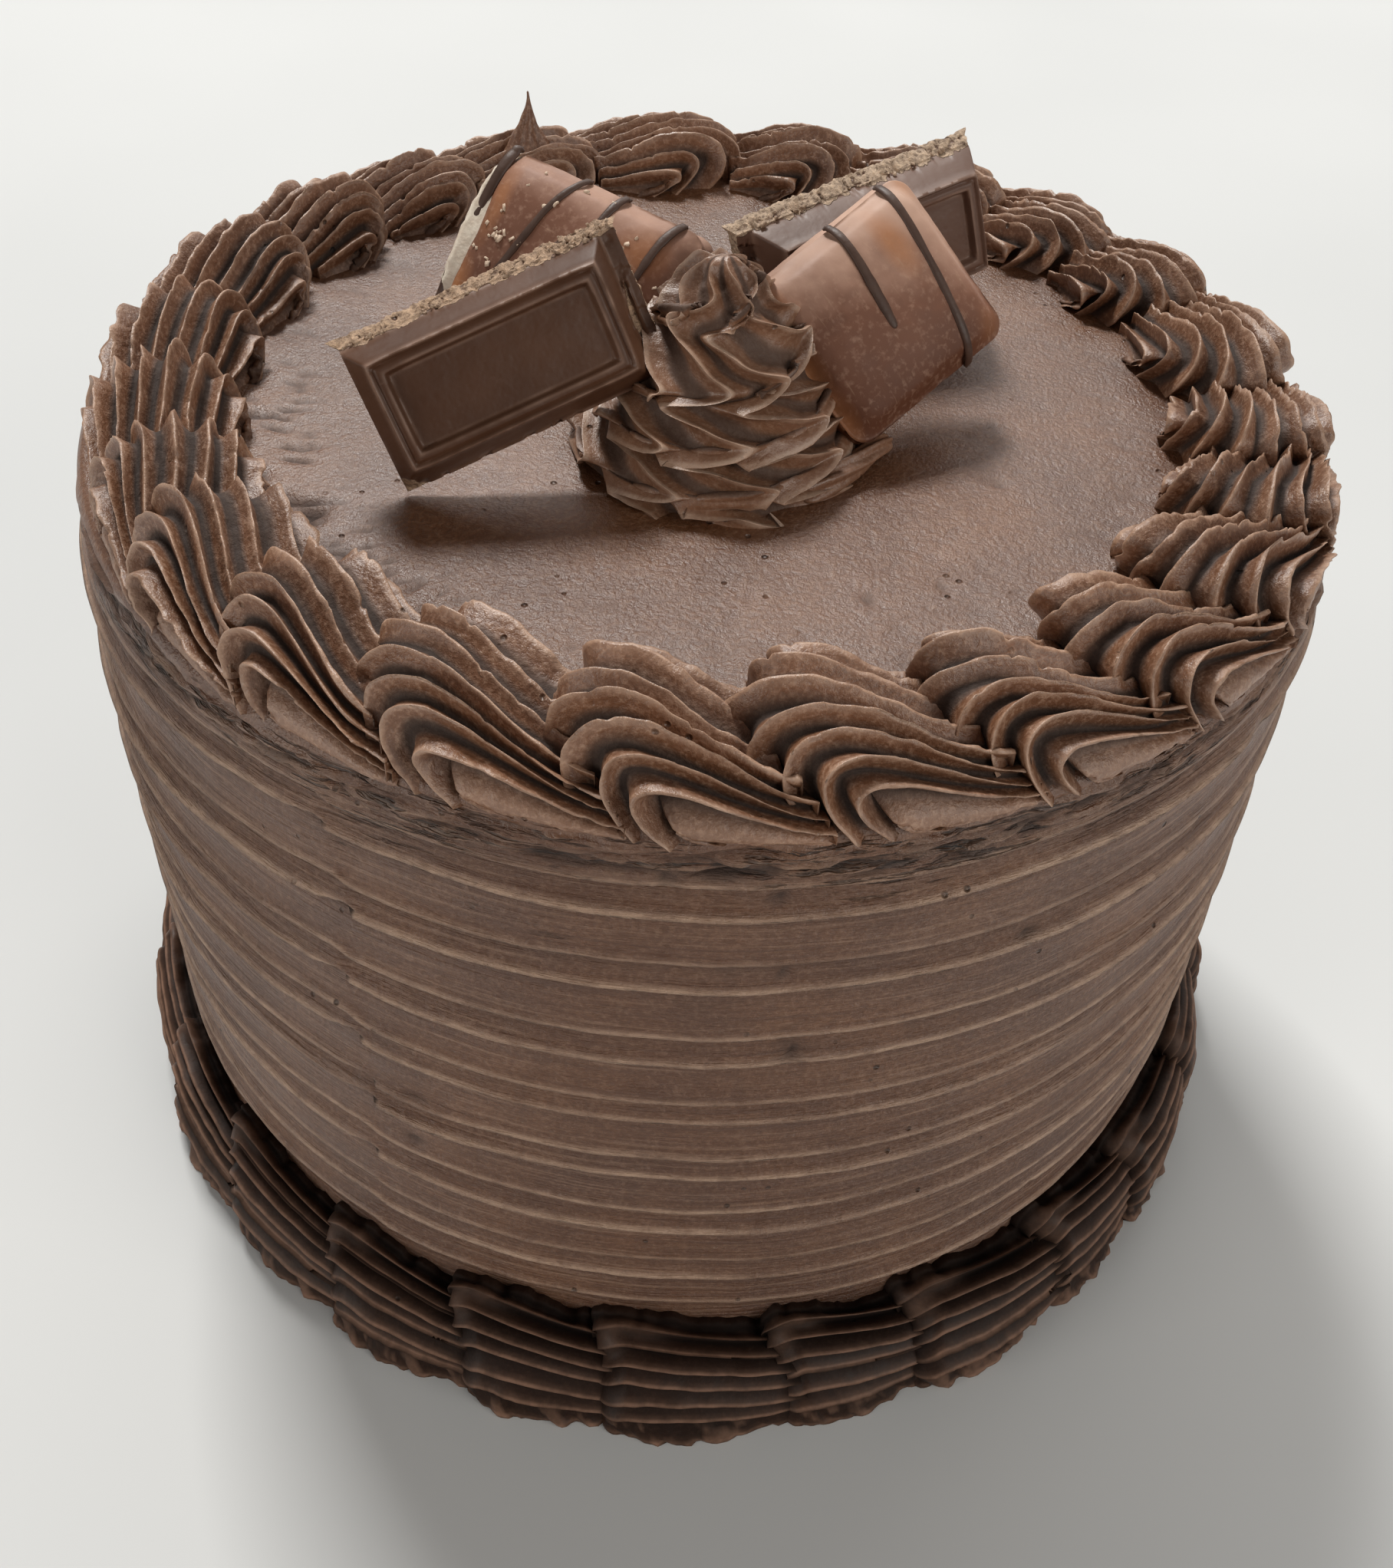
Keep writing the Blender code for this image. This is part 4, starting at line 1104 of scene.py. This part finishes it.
def face_height(x, y, length, width):
    """Height of the pillow's coated face over its back."""
    cx = np.clip(1 - (np.abs(x) / (length / 2)) ** 5, 0, 1) ** 0.55
    cy = np.clip(1 - (np.abs(y) / (width / 2)) ** 5, 0, 1) ** 0.55
    crown = 1 - 0.5 * ((x / length) ** 2 + (y / width) ** 2)
    return 2.2 + (PILLOW_T - 2.2) * (cx * cy) ** 0.60 * crown


def coating_material(name, warm_places, painted_light_and_bloom):
    """Milk chocolate coating: painted light across the face, darker towards
    one side as painted shade and a paler grey towards the other as painted
    sheen and bloomed chocolate, over warmer chocolate that shows where it
    was rubbed, with fine scratches."""
    n = Nodes(name)
    v = n.coords()
    broad = n.noise(v, 70.0, 3.0, 0.5)
    fine = n.noise(v, 1200.0, 3.0, 0.6)
    base, dark, warm = (0.330, 0.155, 0.098), (0.225, 0.098, 0.058), (0.440, 0.180, 0.070)
    colour = n.mix(n.span(broad, 0.3, 0.7), dark, base)
    # painted light across the face: darker towards one side as painted shade, a paler grey towards the other as
    # painted sheen and bloomed chocolate
    split = n.add("ShaderNodeSeparateXYZ")
    n.link(v, split.inputs[0])
    across = n.math('ADD', n.math('MULTIPLY', split.outputs[0], painted_light_and_bloom[0]), n.math('MULTIPLY', split.outputs[1], painted_light_and_bloom[1]))
    across = n.math('ADD', across, n.span(n.noise(v, 120.0, 3.0, 0.6), 0.3, 0.7, -0.003, 0.003))
    across = n.math('ADD', across, painted_light_and_bloom[2])
    colour = n.mix(n.span(across, -0.013, 0.010), (0.120, 0.043, 0.021), colour)
    colour = n.mix(n.span(across, -0.001, 0.015, 0.0, 0.80), colour, (0.66, 0.44, 0.335))
    colour = n.mix(n.span(fine, 0.52, 0.72, 0.0, 0.35), colour, (0.50, 0.31, 0.22))
    worn = None
    for (x, y, wx, wy, amount) in warm_places:
        tc = n.add("ShaderNodeTexCoord")
        mp = n.add("ShaderNodeMapping", vector_type='POINT')
        mp.inputs["Location"].default_value = (-x * MM / (wx * MM), -y * MM / (wy * MM), 0)
        mp.inputs["Scale"].default_value = (1 / (wx * MM), 1 / (wy * MM), 0)
        n.link(tc.outputs["Object"], mp.inputs["Vector"])
        ln = n.add("ShaderNodeVectorMath", operation='LENGTH')
        n.link(mp.outputs["Vector"], ln.inputs[0])
        m = n.span(ln.outputs["Value"], 0.25, 1.0, amount, 0.0)
        worn = m if worn is None else n.math('MAXIMUM', worn, m)
    worn = n.math('MULTIPLY', worn, n.span(n.noise(v, 190.0, 4.0, 0.6), 0.25, 0.6, 0.55, 1.0))
    colour = n.mix(worn, colour, warm)
    scratch = n.noise(n.coords(scale=(0.35, 3.2, 1)), 700.0, 2.0, 0.5)
    colour = n.mix(n.span(scratch, 0.66, 0.74, 0.0, 0.35), colour, (0.42, 0.26, 0.17))
    specks = n.add("ShaderNodeTexVoronoi")
    specks.inputs["Scale"].default_value = 330.0
    n.link(v, specks.inputs["Vector"])
    dot = n.math('MULTIPLY', n.span(specks.outputs["Distance"], 0.04, 0.10, 1.0, 0.0),
                 n.span(n.noise(v, 120.0, 2.0), 0.58, 0.64))
    colour = n.mix(n.math('MULTIPLY', dot, 0.35), colour, (0.62, 0.45, 0.30))
    colour = n.mix(n.math('MULTIPLY', n.attribute("pale"), 1.0), colour, (0.50, 0.36, 0.24))
    height = n.math('ADD', n.math('MULTIPLY', fine, 0.16), n.math('MULTIPLY', n.noise(v, 320.0, 3.0), 0.7))
    normal = n.bump(height, 0.00012, 1.0)
    rough = n.span(n.noise(v, 240.0, 3.0), 0.3, 0.7, 0.54, 0.66)
    return n.finish(colour, rough, normal, 0.36)


def build_pillow(name, node, pose, mat, seed, torn_end=False):
    length, width = pose["size"]
    n = 260
    rows = []
    pale = []
    shape = [(2.6, 0.0), (0.9, 0.0), (0.25, 0.35), (0.0, 0.9), (0.02, 1.5), (0.35, 1.9), (0.55, 2.3),
             (0.50, 3.2), (0.42, 4.2), (0.40, 5.2)]
    for back, z in shape:
        xy = rounded_ring(length - 2 * back, width - 2 * back, 2.6, n)
        rows.append(np.column_stack([xy, np.full(n, z)]))
    inner = 44
    for k in range(inner):
        t = k / inner
        g = (1 - t) ** 1.35
        lx, ly = (length - 0.9) * g + 0.02, (width - 0.9) * g + 0.02
        xy = rounded_ring(lx, ly, max(0.4, 2.6 * g + 1.2 * (1 - g)), n)
        hz = face_height(xy[:, 0], xy[:, 1], length, width)
        low = 5.2 + (hz - 5.2) * smooth(min(1.0, 0.25 + t * 6))
        rows.append(np.column_stack([xy, np.maximum(low, 5.2)]))
    P = np.array(rows)
    p3 = P * np.array([1, 1, 1.0])
    nrm = grid_normals(P, wrap_v=True)
    c = P - np.array([0, 0, 4.0])
    if (nrm * c).sum(-1).mean() < 0:
        nrm = -nrm
    d = 0.10 * fbm(p3 * 0.16, 3, seed) + 0.03 * noise(p3 * 0.9, seed + 5)
    P = P + nrm * d[..., None]
    mask = np.zeros(P.shape[:2])
    if torn_end:
        # the corner at the far left was broken off
        gap = np.exp(-((P[..., 0] + length / 2) ** 2 / 3.4 ** 2 + (P[..., 1] - width / 2) ** 2 / 2.6 ** 2))
        bite = smooth((gap - 0.30) / 0.5)
        rough = fbm(p3 * 1.1, 3, seed + 31)
        P[..., 2] -= bite * (1.6 + 1.0 * rough)
        P[..., 0] += bite * (0.7 + 0.6 * rough)
        mask = np.maximum(mask, bite)
    else:
        # a pale chip on the outer corner
        chip = np.exp(-((P[..., 0] - length / 2) ** 2 + (P[..., 1] - width / 2) ** 2) / 1.9 ** 2)
        chip = chip * smooth((P[..., 2] - 4.0) / 2.0)
        P[..., 2] -= 0.7 * smooth((chip - 0.35) / 0.4)
        mask = np.maximum(mask, smooth((chip - 0.30) / 0.35))
    verts = P.reshape(-1, 3)
    nu = P.shape[0]
    faces = grid_faces(nu, n, wrap_v=True)
    n0 = len(verts)
    verts = np.vstack([verts, P[0].mean(0)[None], P[-1].mean(0)[None]])
    k = np.arange(n)
    k2 = (k + 1) % n
    bottom = np.stack([k2, k, np.full(n, n0), np.full(n, -1)], -1)
    top0 = (nu - 1) * n
    crown = np.stack([top0 + k, top0 + k2, np.full(n, n0 + 1), np.full(n, -1)], -1)
    pale = np.concatenate([mask.ravel(), [0, 0]])
    ob = new_object(name, verts, np.vstack([faces, bottom, crown]), mat, [node],
                    placed(pose), attributes={"pale": pale})
    fix_normals(ob)
    return ob


def drizzle_material():
    n = Nodes("drizzle_chocolate")
    v = n.coords()
    broad = n.noise(v, 300.0, 3.0, 0.5)
    colour = n.mix(n.span(broad, 0.3, 0.7), (0.055, 0.027, 0.018), (0.085, 0.046, 0.032))
    normal = n.bump(n.noise(v, 800.0, 3.0), 0.00010, 1.0)
    return n.finish(colour, n.span(broad, 0.3, 0.7, 0.42, 0.54), normal, 0.4)


def strand(points, widths, heights, length, width, down=0.35, seed=0):
    """A flattened thread of chocolate that lies on a pillow's face. The points
    are (x, y) in the pillow's own frame; beyond the face's edge the thread
    turns down over the side."""
    pts = np.array(points, float)
    # a smooth run through the points
    n = 60
    s = np.linspace(0, len(pts) - 1, n)
    i = np.clip(np.floor(s).astype(int), 0, len(pts) - 2)
    f = (s - i)[:, None]
    p0 = pts[np.clip(i - 1, 0, len(pts) - 1)]
    p1, p2 = pts[i], pts[i + 1]
    p3 = pts[np.clip(i + 2, 0, len(pts) - 1)]
    path = 0.5 * ((2 * p1) + (p2 - p0) * f + (2 * p0 - 5 * p1 + 4 * p2 - p3) * f ** 2
                  + (3 * p1 - p0 - 3 * p2 + p3) * f ** 3)
    x, y = path[:, 0], path[:, 1]
    lim_x, lim_y = length / 2 - 0.45, width / 2 - 0.45
    ox = np.maximum(np.abs(x) - lim_x, 0)
    oy = np.maximum(np.abs(y) - lim_y, 0)
    ox, oy = np.minimum(ox, 0.7), np.minimum(oy, 0.7)
    over = np.maximum(ox, oy)
    cx = np.clip(x, -lim_x, lim_x)
    cy = np.clip(y, -lim_y, lim_y)
    z = face_height(cx * 0.985, cy * 0.985, length, width) - over * 1.0
    z = np.maximum(z, 5.25 - over * 1.3)
    spine = np.column_stack([cx + np.sign(x) * np.minimum(ox, 0.25), cy + np.sign(y) * np.minimum(oy, 0.25), z])
    tang = np.gradient(spine, axis=0)
    tang /= np.linalg.norm(tang, axis=1, keepdims=True)
    up = np.tile([0, 0, 1.0], (n, 1))
    side_dir = np.zeros((n, 3))
    side_dir[:, 0] = np.sign(x) * (ox > 0)
    side_dir[:, 1] = np.sign(y) * (oy > 0)
    up = up + side_dir * np.clip(over, 0, 1.5)[:, None] * 2
    up = up - tang * (up * tang).sum(1, keepdims=True)
    up /= np.linalg.norm(up, axis=1, keepdims=True)
    across = np.cross(tang, up)
    w = 0.80 * np.interp(np.linspace(0, 1, n), np.linspace(0, 1, len(widths)), widths)
    h = 0.62 * np.interp(np.linspace(0, 1, n), np.linspace(0, 1, len(heights)), heights)
    w = w * (1 + 0.12 * noise(np.column_stack([np.arange(n) * 0.25, np.zeros(n), np.full(n, seed)]), 3))
    ends = np.sqrt(np.clip(1 - (2 * np.linspace(0, 1, n) - 1) ** 10, 0.0004, 1))
    m = 14
    g = np.arange(m) / m * 2 * pi
    P = (spine[:, None] + across[:, None] * (np.cos(g)[None, :, None] * (w * ends / 2)[:, None, None])
         + up[:, None] * ((np.sin(g) * 0.75 + 0.15)[None, :, None] * (h * ends)[:, None, None]))
    return P


def join_tubes(name, tubes, mat, matrix):
    verts, faces, total = [], [], 0
    for P in tubes:
        nu, nv = P.shape[:2]
        v = P.reshape(-1, 3)
        f = grid_faces(nu, nv, wrap_v=True) + total
        mids = np.array([P[0].mean(0), P[-1].mean(0)])
        k = np.arange(nv)
        k2 = (k + 1) % nv
        a = np.stack([total + k2, total + k, np.full(nv, total + len(v)), np.full(nv, -1)], -1)
        b0 = total + (nu - 1) * nv
        b = np.stack([b0 + k, b0 + k2, np.full(nv, total + len(v) + 1), np.full(nv, -1)], -1)
        verts += [v, mids]
        faces += [f, a, b]
        total += len(v) + 2
    ob = new_object(name, np.vstack(verts), np.vstack(faces), mat, (), matrix)
    fix_normals(ob)
    return ob


# ---------------------------------------------------------------- crumbs -----
def flakes(name, places, mat, matrix=None, seed=0, size=(0.5, 1.4), thin=0.35):
    """Small broken bits, each a lumpy box, joined into one mesh."""
    rng = np.random.RandomState(seed)
    cube = np.array([[x, y, z] for x in (-1, 0, 1) for y in (-1, 0, 1) for z in (-1, 1)], float)
    quads = []
    idx = {(x, y, z): k for k, (x, y, z) in enumerate([(x, y, z) for x in (-1, 0, 1) for y in (-1, 0, 1) for z in (-1, 1)])}
    for z in (-1, 1):
        for x in (-1, 0):
            for y in (-1, 0):
                q = [idx[(x, y, z)], idx[(x + 1, y, z)], idx[(x + 1, y + 1, z)], idx[(x, y + 1, z)]]
                quads.append(q if z == 1 else q[::-1])
    for a in (-1, 0):
        quads.append([idx[(a, -1, -1)], idx[(a + 1, -1, -1)], idx[(a + 1, -1, 1)], idx[(a, -1, 1)]])
        quads.append([idx[(a + 1, 1, -1)], idx[(a, 1, -1)], idx[(a, 1, 1)], idx[(a + 1, 1, 1)]])
        quads.append([idx[(-1, a + 1, -1)], idx[(-1, a, -1)], idx[(-1, a, 1)], idx[(-1, a + 1, 1)]])
        quads.append([idx[(1, a, -1)], idx[(1, a + 1, -1)], idx[(1, a + 1, 1)], idx[(1, a, 1)]])
    quads = np.array(quads)
    verts, faces, total = [], [], 0
    for p in places:
        p = np.asarray(p, float)
        s = rng.uniform(*size) * 0.5
        dims = np.array([s * rng.uniform(0.8, 1.5), s * rng.uniform(0.4, 0.9), s * thin * rng.uniform(0.7, 1.3)])
        v = cube * dims * (1 + 0.3 * rng.uniform(-1, 1, cube.shape))
        a = rng.uniform(0, 2 * pi)
        b = rng.uniform(-0.45, 0.45)
        ra = np.array([[cos(a), -sin(a), 0], [sin(a), cos(a), 0], [0, 0, 1]])
        rb = np.array([[1, 0, 0], [0, cos(b), -sin(b)], [0, sin(b), cos(b)]])
        v = v @ rb.T @ ra.T + p + np.array([0, 0, dims[2] * 0.5])
        verts.append(v)
        faces.append(quads + total)
        total += len(v)
    ob = new_object(name, np.vstack(verts), np.vstack(faces), mat, (), matrix, smooth_shade=False)
    fix_normals(ob)
    return ob


def crumb_material(name, pale, dark):
    n = Nodes(name)
    v = n.coords()
    grain = n.noise(v, 1600.0, 3.0, 0.6)
    colour = n.mix(n.span(grain, 0.35, 0.65), dark, pale)
    normal = n.bump(n.noise(v, 2400.0, 3.0), 0.00008, 1.0)
    return n.finish(colour, n.span(grain, 0.3, 0.7, 0.55, 0.75), normal, 0.4)


# ---------------------------------------------------------------- build ------
build_body()
for i in range(len(TOP_AT)):
    build_top_shell(i)
build_peak()
for i in range(len(FOOT_AT)):
    build_foot_shell(i)
build_rosette()

bar_mat = bar_material("bar_chocolate_front", (0.104, 0.046, 0.024), (0.074, 0.031, 0.0155), (0.44, 0.30, 0.205))
build_bar("bar_front_detailed", "bar_piece_front", BAR_FRONT, bar_mat, 601, sliver=True)
rear_mat = bar_material("bar_chocolate_rear", (0.165, 0.090, 0.062), (0.120, 0.062, 0.042), (0.50, 0.37, 0.27))
build_bar("bar_rear_detailed", "bar_piece_rear", BAR_REAR, rear_mat, 651, break_x=-1)

right_mat = coating_material("coating_right", [(-5.6, 5.2, 5.5, 2.6, 0.75), (-9.5, -12.4, 3.2, 2.6, 0.85),
                                               (-1.0, -12.8, 7.5, 1.8, 0.75), (7.0, -12.6, 6.0, 1.6, 0.6),
                                               (9.8, 11.0, 3.0, 3.0, 0.35), (-11.0, 12.5, 3.5, 1.6, 0.45)], (-1.0, 0.35, 0.0))
build_pillow("pillow_right_coated", "pillow_piece_right", PILLOW_RIGHT, right_mat, 801)
left_mat = coating_material("coating_left", [(-13.6, -8.5, 2.8, 6.0, 0.8), (-12.6, 5.5, 2.0, 8.0, 0.55),
                                             (9.5, 7.0, 4.5, 4.0, 0.6), (-9.0, -9.0, 4.0, 3.0, 0.4)], (0.1, 0.8, -0.005))
build_pillow("pillow_left_coated", "pillow_piece_left", PILLOW_LEFT, left_mat, 851, torn_end=True)

dark_mat = drizzle_material()
L, W = PILLOW_RIGHT["size"]
join_tubes("drizzle_right", [
    strand([(-12.6, 0.8), (-12.0, 0.6), (-7.1, -0.1), (-1.9, -0.9), (2.6, -1.5)],
           (1.5, 1.3, 1.35, 1.8, 1.7, 1.5), (0.55, 0.6, 0.6, 0.6, 0.5), L, W, seed=1),
    strand([(-13.6, 10.2), (-12.0, 9.6), (-5.1, 8.4), (4.1, 6.9), (12.0, 5.6), (14.0, 5.4)],
           (1.7, 1.6, 1.3, 1.35, 1.4, 1.5, 1.3), (0.5, 0.6, 0.65, 0.65, 0.6, 0.6), L, W, seed=2),
], dark_mat, placed(PILLOW_RIGHT))
L, W = PILLOW_LEFT["size"]
join_tubes("drizzle_left", [
    strand([(-2.4, 14.4), (-2.8, 12.6), (-5.2, 7.0), (-6.7, 1.8), (-8.2, -3.4), (-9.6, -9.0), (-10.5, -12.5)],
           (1.1, 1.2, 1.3, 1.4, 1.4, 1.2), (0.5, 0.55, 0.55, 0.5), L, W, seed=3),
    strand([(3.8, 14.2), (3.2, 12.4), (2.6, 9.4), (1.6, 4.0), (0.6, -3.0)],
           (1.2, 1.5, 1.3, 1.2), (0.5, 0.55, 0.5), L, W, seed=4),
    strand([(12.4, 14.0), (12.0, 12.4), (11.0, 8.6), (10.2, 3.0)],
           (1.2, 1.6, 1.7, 1.3), (0.5, 0.6, 0.5), L, W, seed=5),
    strand([(-16.0, -13.2), (-16.1, -9.0), (-15.6, -0.4), (-15.0, 8.0), (-14.6, 12.4), (-14.4, 13.8)],
           (2.0, 2.1, 2.0, 1.9, 1.6), (0.8, 0.9, 0.9, 0.8), L, W, seed=6),
], dark_mat, placed(PILLOW_LEFT))

# icing squeezed out along the right pillow's foot
def build_rope():
    pts = np.array([(11.5, -23.4, 113.0), (15.4, -20.4, 113.8), (18.6, -17.4, 114.4), (21.2, -14.2, 114.8),
                    (23.2, -11.2, 114.4)])
    k = 70
    t = np.linspace(0, len(pts) - 1, k)
    path = np.column_stack([np.interp(t, np.arange(len(pts)), pts[:, a]) for a in range(3)])
    for _ in range(4):
        path[1:-1] = 0.25 * path[:-2] + 0.5 * path[1:-1] + 0.25 * path[2:]
    tang = np.gradient(path, axis=0)
    tang /= np.linalg.norm(tang, axis=1, keepdims=True)
    side = np.cross(tang, [0, 0, 1.0])
    side /= np.linalg.norm(side, axis=1, keepdims=True)
    up = np.cross(side, tang)
    m = 40
    g = np.arange(m) / m * 2 * pi
    u = np.linspace(0, 1, k)
    size = 1.9 * (1 - 0.40 * u) * np.sqrt(np.clip(1 - (2 * u - 1) ** 12, 0.002, 1))
    twist = g[None, :] * 5 + u[:, None] * 9.0
    rr = size[:, None] * (0.90 + 0.20 * np.cos(twist))
    return (path[:, None] + side[:, None] * (np.cos(g)[None, :] * rr)[..., None]
            + up[:, None] * (np.sin(g)[None, :] * rr)[..., None])


join_tubes("icing_rope", [build_rope()], rosette_mat, None)


# the cream that shows at the cut end of the left pillow
def build_cream():
    n = Nodes("cream_filling")
    v = n.coords()
    g = n.noise(v, 700.0, 3.0, 0.6)
    colour = n.mix(n.span(g, 0.35, 0.65), (0.66, 0.55, 0.44), (0.82, 0.73, 0.61))
    mat = n.finish(colour, n.span(g, 0.3, 0.7, 0.5, 0.7), n.bump(n.noise(v, 1500.0, 3.0), 0.00012, 1.0), 0.4)
    length, width = PILLOW_LEFT["size"]
    m, k = 60, 26
    a = np.arange(m) / m * 2 * pi
    rows = []
    for j in range(k):
        t = j / (k - 1)
        x = -length / 2 - 0.55 + 6.0 * t
        puff = 1.0 - 0.25 * (1 - smooth(t / 0.15))
        y = (width / 2 - 2.2) * np.cos(a) * puff
        z = 4.1 + 2.9 * np.sin(a) * puff
        rows.append(np.column_stack([np.full(m, x), y, z]))
    P = np.array(rows)
    P[..., 0] += 0.25 * fbm(P * 0.8, 2, 871) * (P[..., 0] < -length / 2 + 1.0)
    P[..., 2] += 0.2 * noise(P * 0.9, 873)
    verts = P.reshape(-1, 3)
    f = grid_faces(k, m, wrap_v=True)
    n0 = len(verts)
    verts = np.vstack([verts, P[0].mean(0)[None], P[-1].mean(0)[None]])
    i = np.arange(m)
    i2 = (i + 1) % m
    e0 = np.stack([i2, i, np.full(m, n0), np.full(m, -1)], -1)
    b0 = (k - 1) * m
    e1 = np.stack([b0 + i, b0 + i2, np.full(m, n0 + 1), np.full(m, -1)], -1)
    ob = new_object("pillow_cream_soft", verts, np.vstack([f, e0, e1]), mat, ["pillow_cream"],
                    placed(PILLOW_LEFT))
    fix_normals(ob)


build_cream()

pale_crumb = crumb_material("crumbs_pale", (0.78, 0.62, 0.48), (0.55, 0.40, 0.29))
tan_crumb = crumb_material("crumbs_tan", (0.52, 0.38, 0.27), (0.27, 0.175, 0.115))
rng = np.random.RandomState(31)
L, W = PILLOW_LEFT["size"]
spots = []
for cx, cy, sx, sy, count in ((-10.0, 1.6, 1.6, 1.5, 13), (-13.0, -1.8, 0.5, 0.6, 2), (-10.8, -3.2, 0.8, 0.8, 2),
                              (-3.0, 0.5, 4.0, 4.0, 6), (6.0, 6.0, 5.0, 4.0, 6), (-9.0, 9.5, 2.5, 2.0, 3),
                              (-6.0, -5.0, 1.5, 1.5, 4)):
    for k in range(count):
        x, y = cx + rng.normal() * sx, cy + rng.normal() * sy
        x, y = np.clip(x, -14, 14), np.clip(y, -11, 11)
        spots.append((x, y, face_height(np.array(x), np.array(y), L, W)))
flakes("crumbs_left_pillow", spots, pale_crumb, placed(PILLOW_LEFT), 41, (0.30, 0.85))
spots = []
for k in range(120):
    x = rng.uniform(-17.4, 17.4)
    spots.append((x, BAR_W / 2 + rng.uniform(-0.30, 0.10), BAR_PLATE * rng.uniform(0.0, 1.05)))
for k in range(46):
    spots.append((rng.uniform(9.0, 17.2), BAR_W / 2 + rng.uniform(-0.2, 1.4) * rng.uniform(0, 1),
                  rng.uniform(0.2, 3.4)))
for k in range(12):
    spots.append((-BAR_L / 2 + rng.uniform(0.1, 2.2), -BAR_W / 2 + rng.uniform(0.1, 1.2), rng.uniform(1.0, 2.2)))
flakes("crumbs_front_bar", spots, tan_crumb, placed(BAR_FRONT), 43, (0.18, 0.55), 0.8)
spots = []
for k in range(70):
    spots.append((rng.uniform(-17.4, -6.0) if k < 45 else rng.uniform(-6, 16),
                  BAR_W / 2 + rng.uniform(-0.3, 0.15), rng.uniform(0.3, 3.2)))
flakes("crumbs_rear_bar", spots, tan_crumb, placed(BAR_REAR), 47, (0.18, 0.60), 0.8)


# ---------------------------------------------------------------- stage ------
def floor_material():
    n = Nodes("floor_pale")
    v = n.coords()
    g = n.noise(v, 6.0, 2.0, 0.5)
    colour = n.mix(n.span(g, 0.3, 0.7), (0.64, 0.65, 0.65), (0.68, 0.69, 0.69))
    return n.finish(colour, n.span(g, 0.3, 0.7, 0.75, 0.85), None, 0.2)


mesh = bpy.data.meshes.new("floor")
s = 4.0
mesh.from_pydata([(-s, -s, 0), (s, -s, 0), (s, s, 0), (-s, s, 0)], [], [(0, 1, 2, 3)])
mesh.materials.append(floor_material())
floor = bpy.data.objects.new("floor", mesh)
floor.location.z = -0.0002
bpy.context.scene.collection.objects.link(floor)


def look(ob, target):
    d = Vector(target) - ob.location
    ob.rotation_euler = d.to_track_quat('-Z', 'Y').to_euler()


def area(name, at, size, power, colour=(1, 1, 1), target=(0, 0, 0.08)):
    data = bpy.data.lights.new(name, 'AREA')
    data.shape = 'RECTANGLE'
    data.size, data.size_y = size
    data.energy = power
    data.color = colour
    ob = bpy.data.objects.new(name, data)
    ob.location = at
    bpy.context.scene.collection.objects.link(ob)
    look(ob, target)
    return ob


area("key", (-0.98, 2.12, 3.58), (0.92, 0.82), 150.0, (1.0, 0.985, 0.955))
area("back_soft", (0.45, 3.75, 3.05), (4.5, 2.4), 76.0, (1.0, 0.985, 0.955))
area("left_fill", (-1.50, -1.05, 0.50), (1.0, 0.7), 10.0, (1.0, 0.96, 0.90), (0, 0, 0.06))
area("right_fill", (1.55, -1.15, 0.95), (1.5, 1.1), 18.0, (1.0, 0.96, 0.90), (0, 0, 0.06))

world = bpy.data.worlds.new("studio")
bpy.context.scene.world = world
world.use_nodes = True
wt = world.node_tree
wt.nodes["Background"].inputs["Color"].default_value = (1.0, 0.99, 0.97, 1)
wt.nodes["Background"].inputs["Strength"].default_value = 0.15

# ---------------------------------------------------------------- camera -----
PITCH, ROLL, YAW = 0.77190634, 0.06304348, 0.00789889
fwd = Vector((sin(YAW) * cos(PITCH), cos(YAW) * cos(PITCH), -sin(PITCH)))
right = Vector((cos(YAW), -sin(YAW), 0))
up = right.cross(fwd)
r2 = right * cos(ROLL) + up * sin(ROLL)
u2 = -right * sin(ROLL) + up * cos(ROLL)
cam_data = bpy.data.cameras.new("camera")
cam = bpy.data.objects.new("camera", cam_data)
bpy.context.scene.collection.objects.link(cam)
m = Matrix((r2, u2, -fwd)).transposed().to_4x4()
m.translation = Vector((0.0, -0.19338769, 0.22859955))
cam.matrix_world = m
cam_data.sensor_width = 36.0
cam_data.lens = 2150.0 * 36.0 / 2044.0
cam_data.clip_start, cam_data.clip_end = 0.01, 50.0
bpy.context.scene.camera = cam

view = bpy.context.scene.view_settings
view.view_transform = 'Standard'
view.look = 'None'
view.exposure = 0.0

bpy.context.view_layer.update()
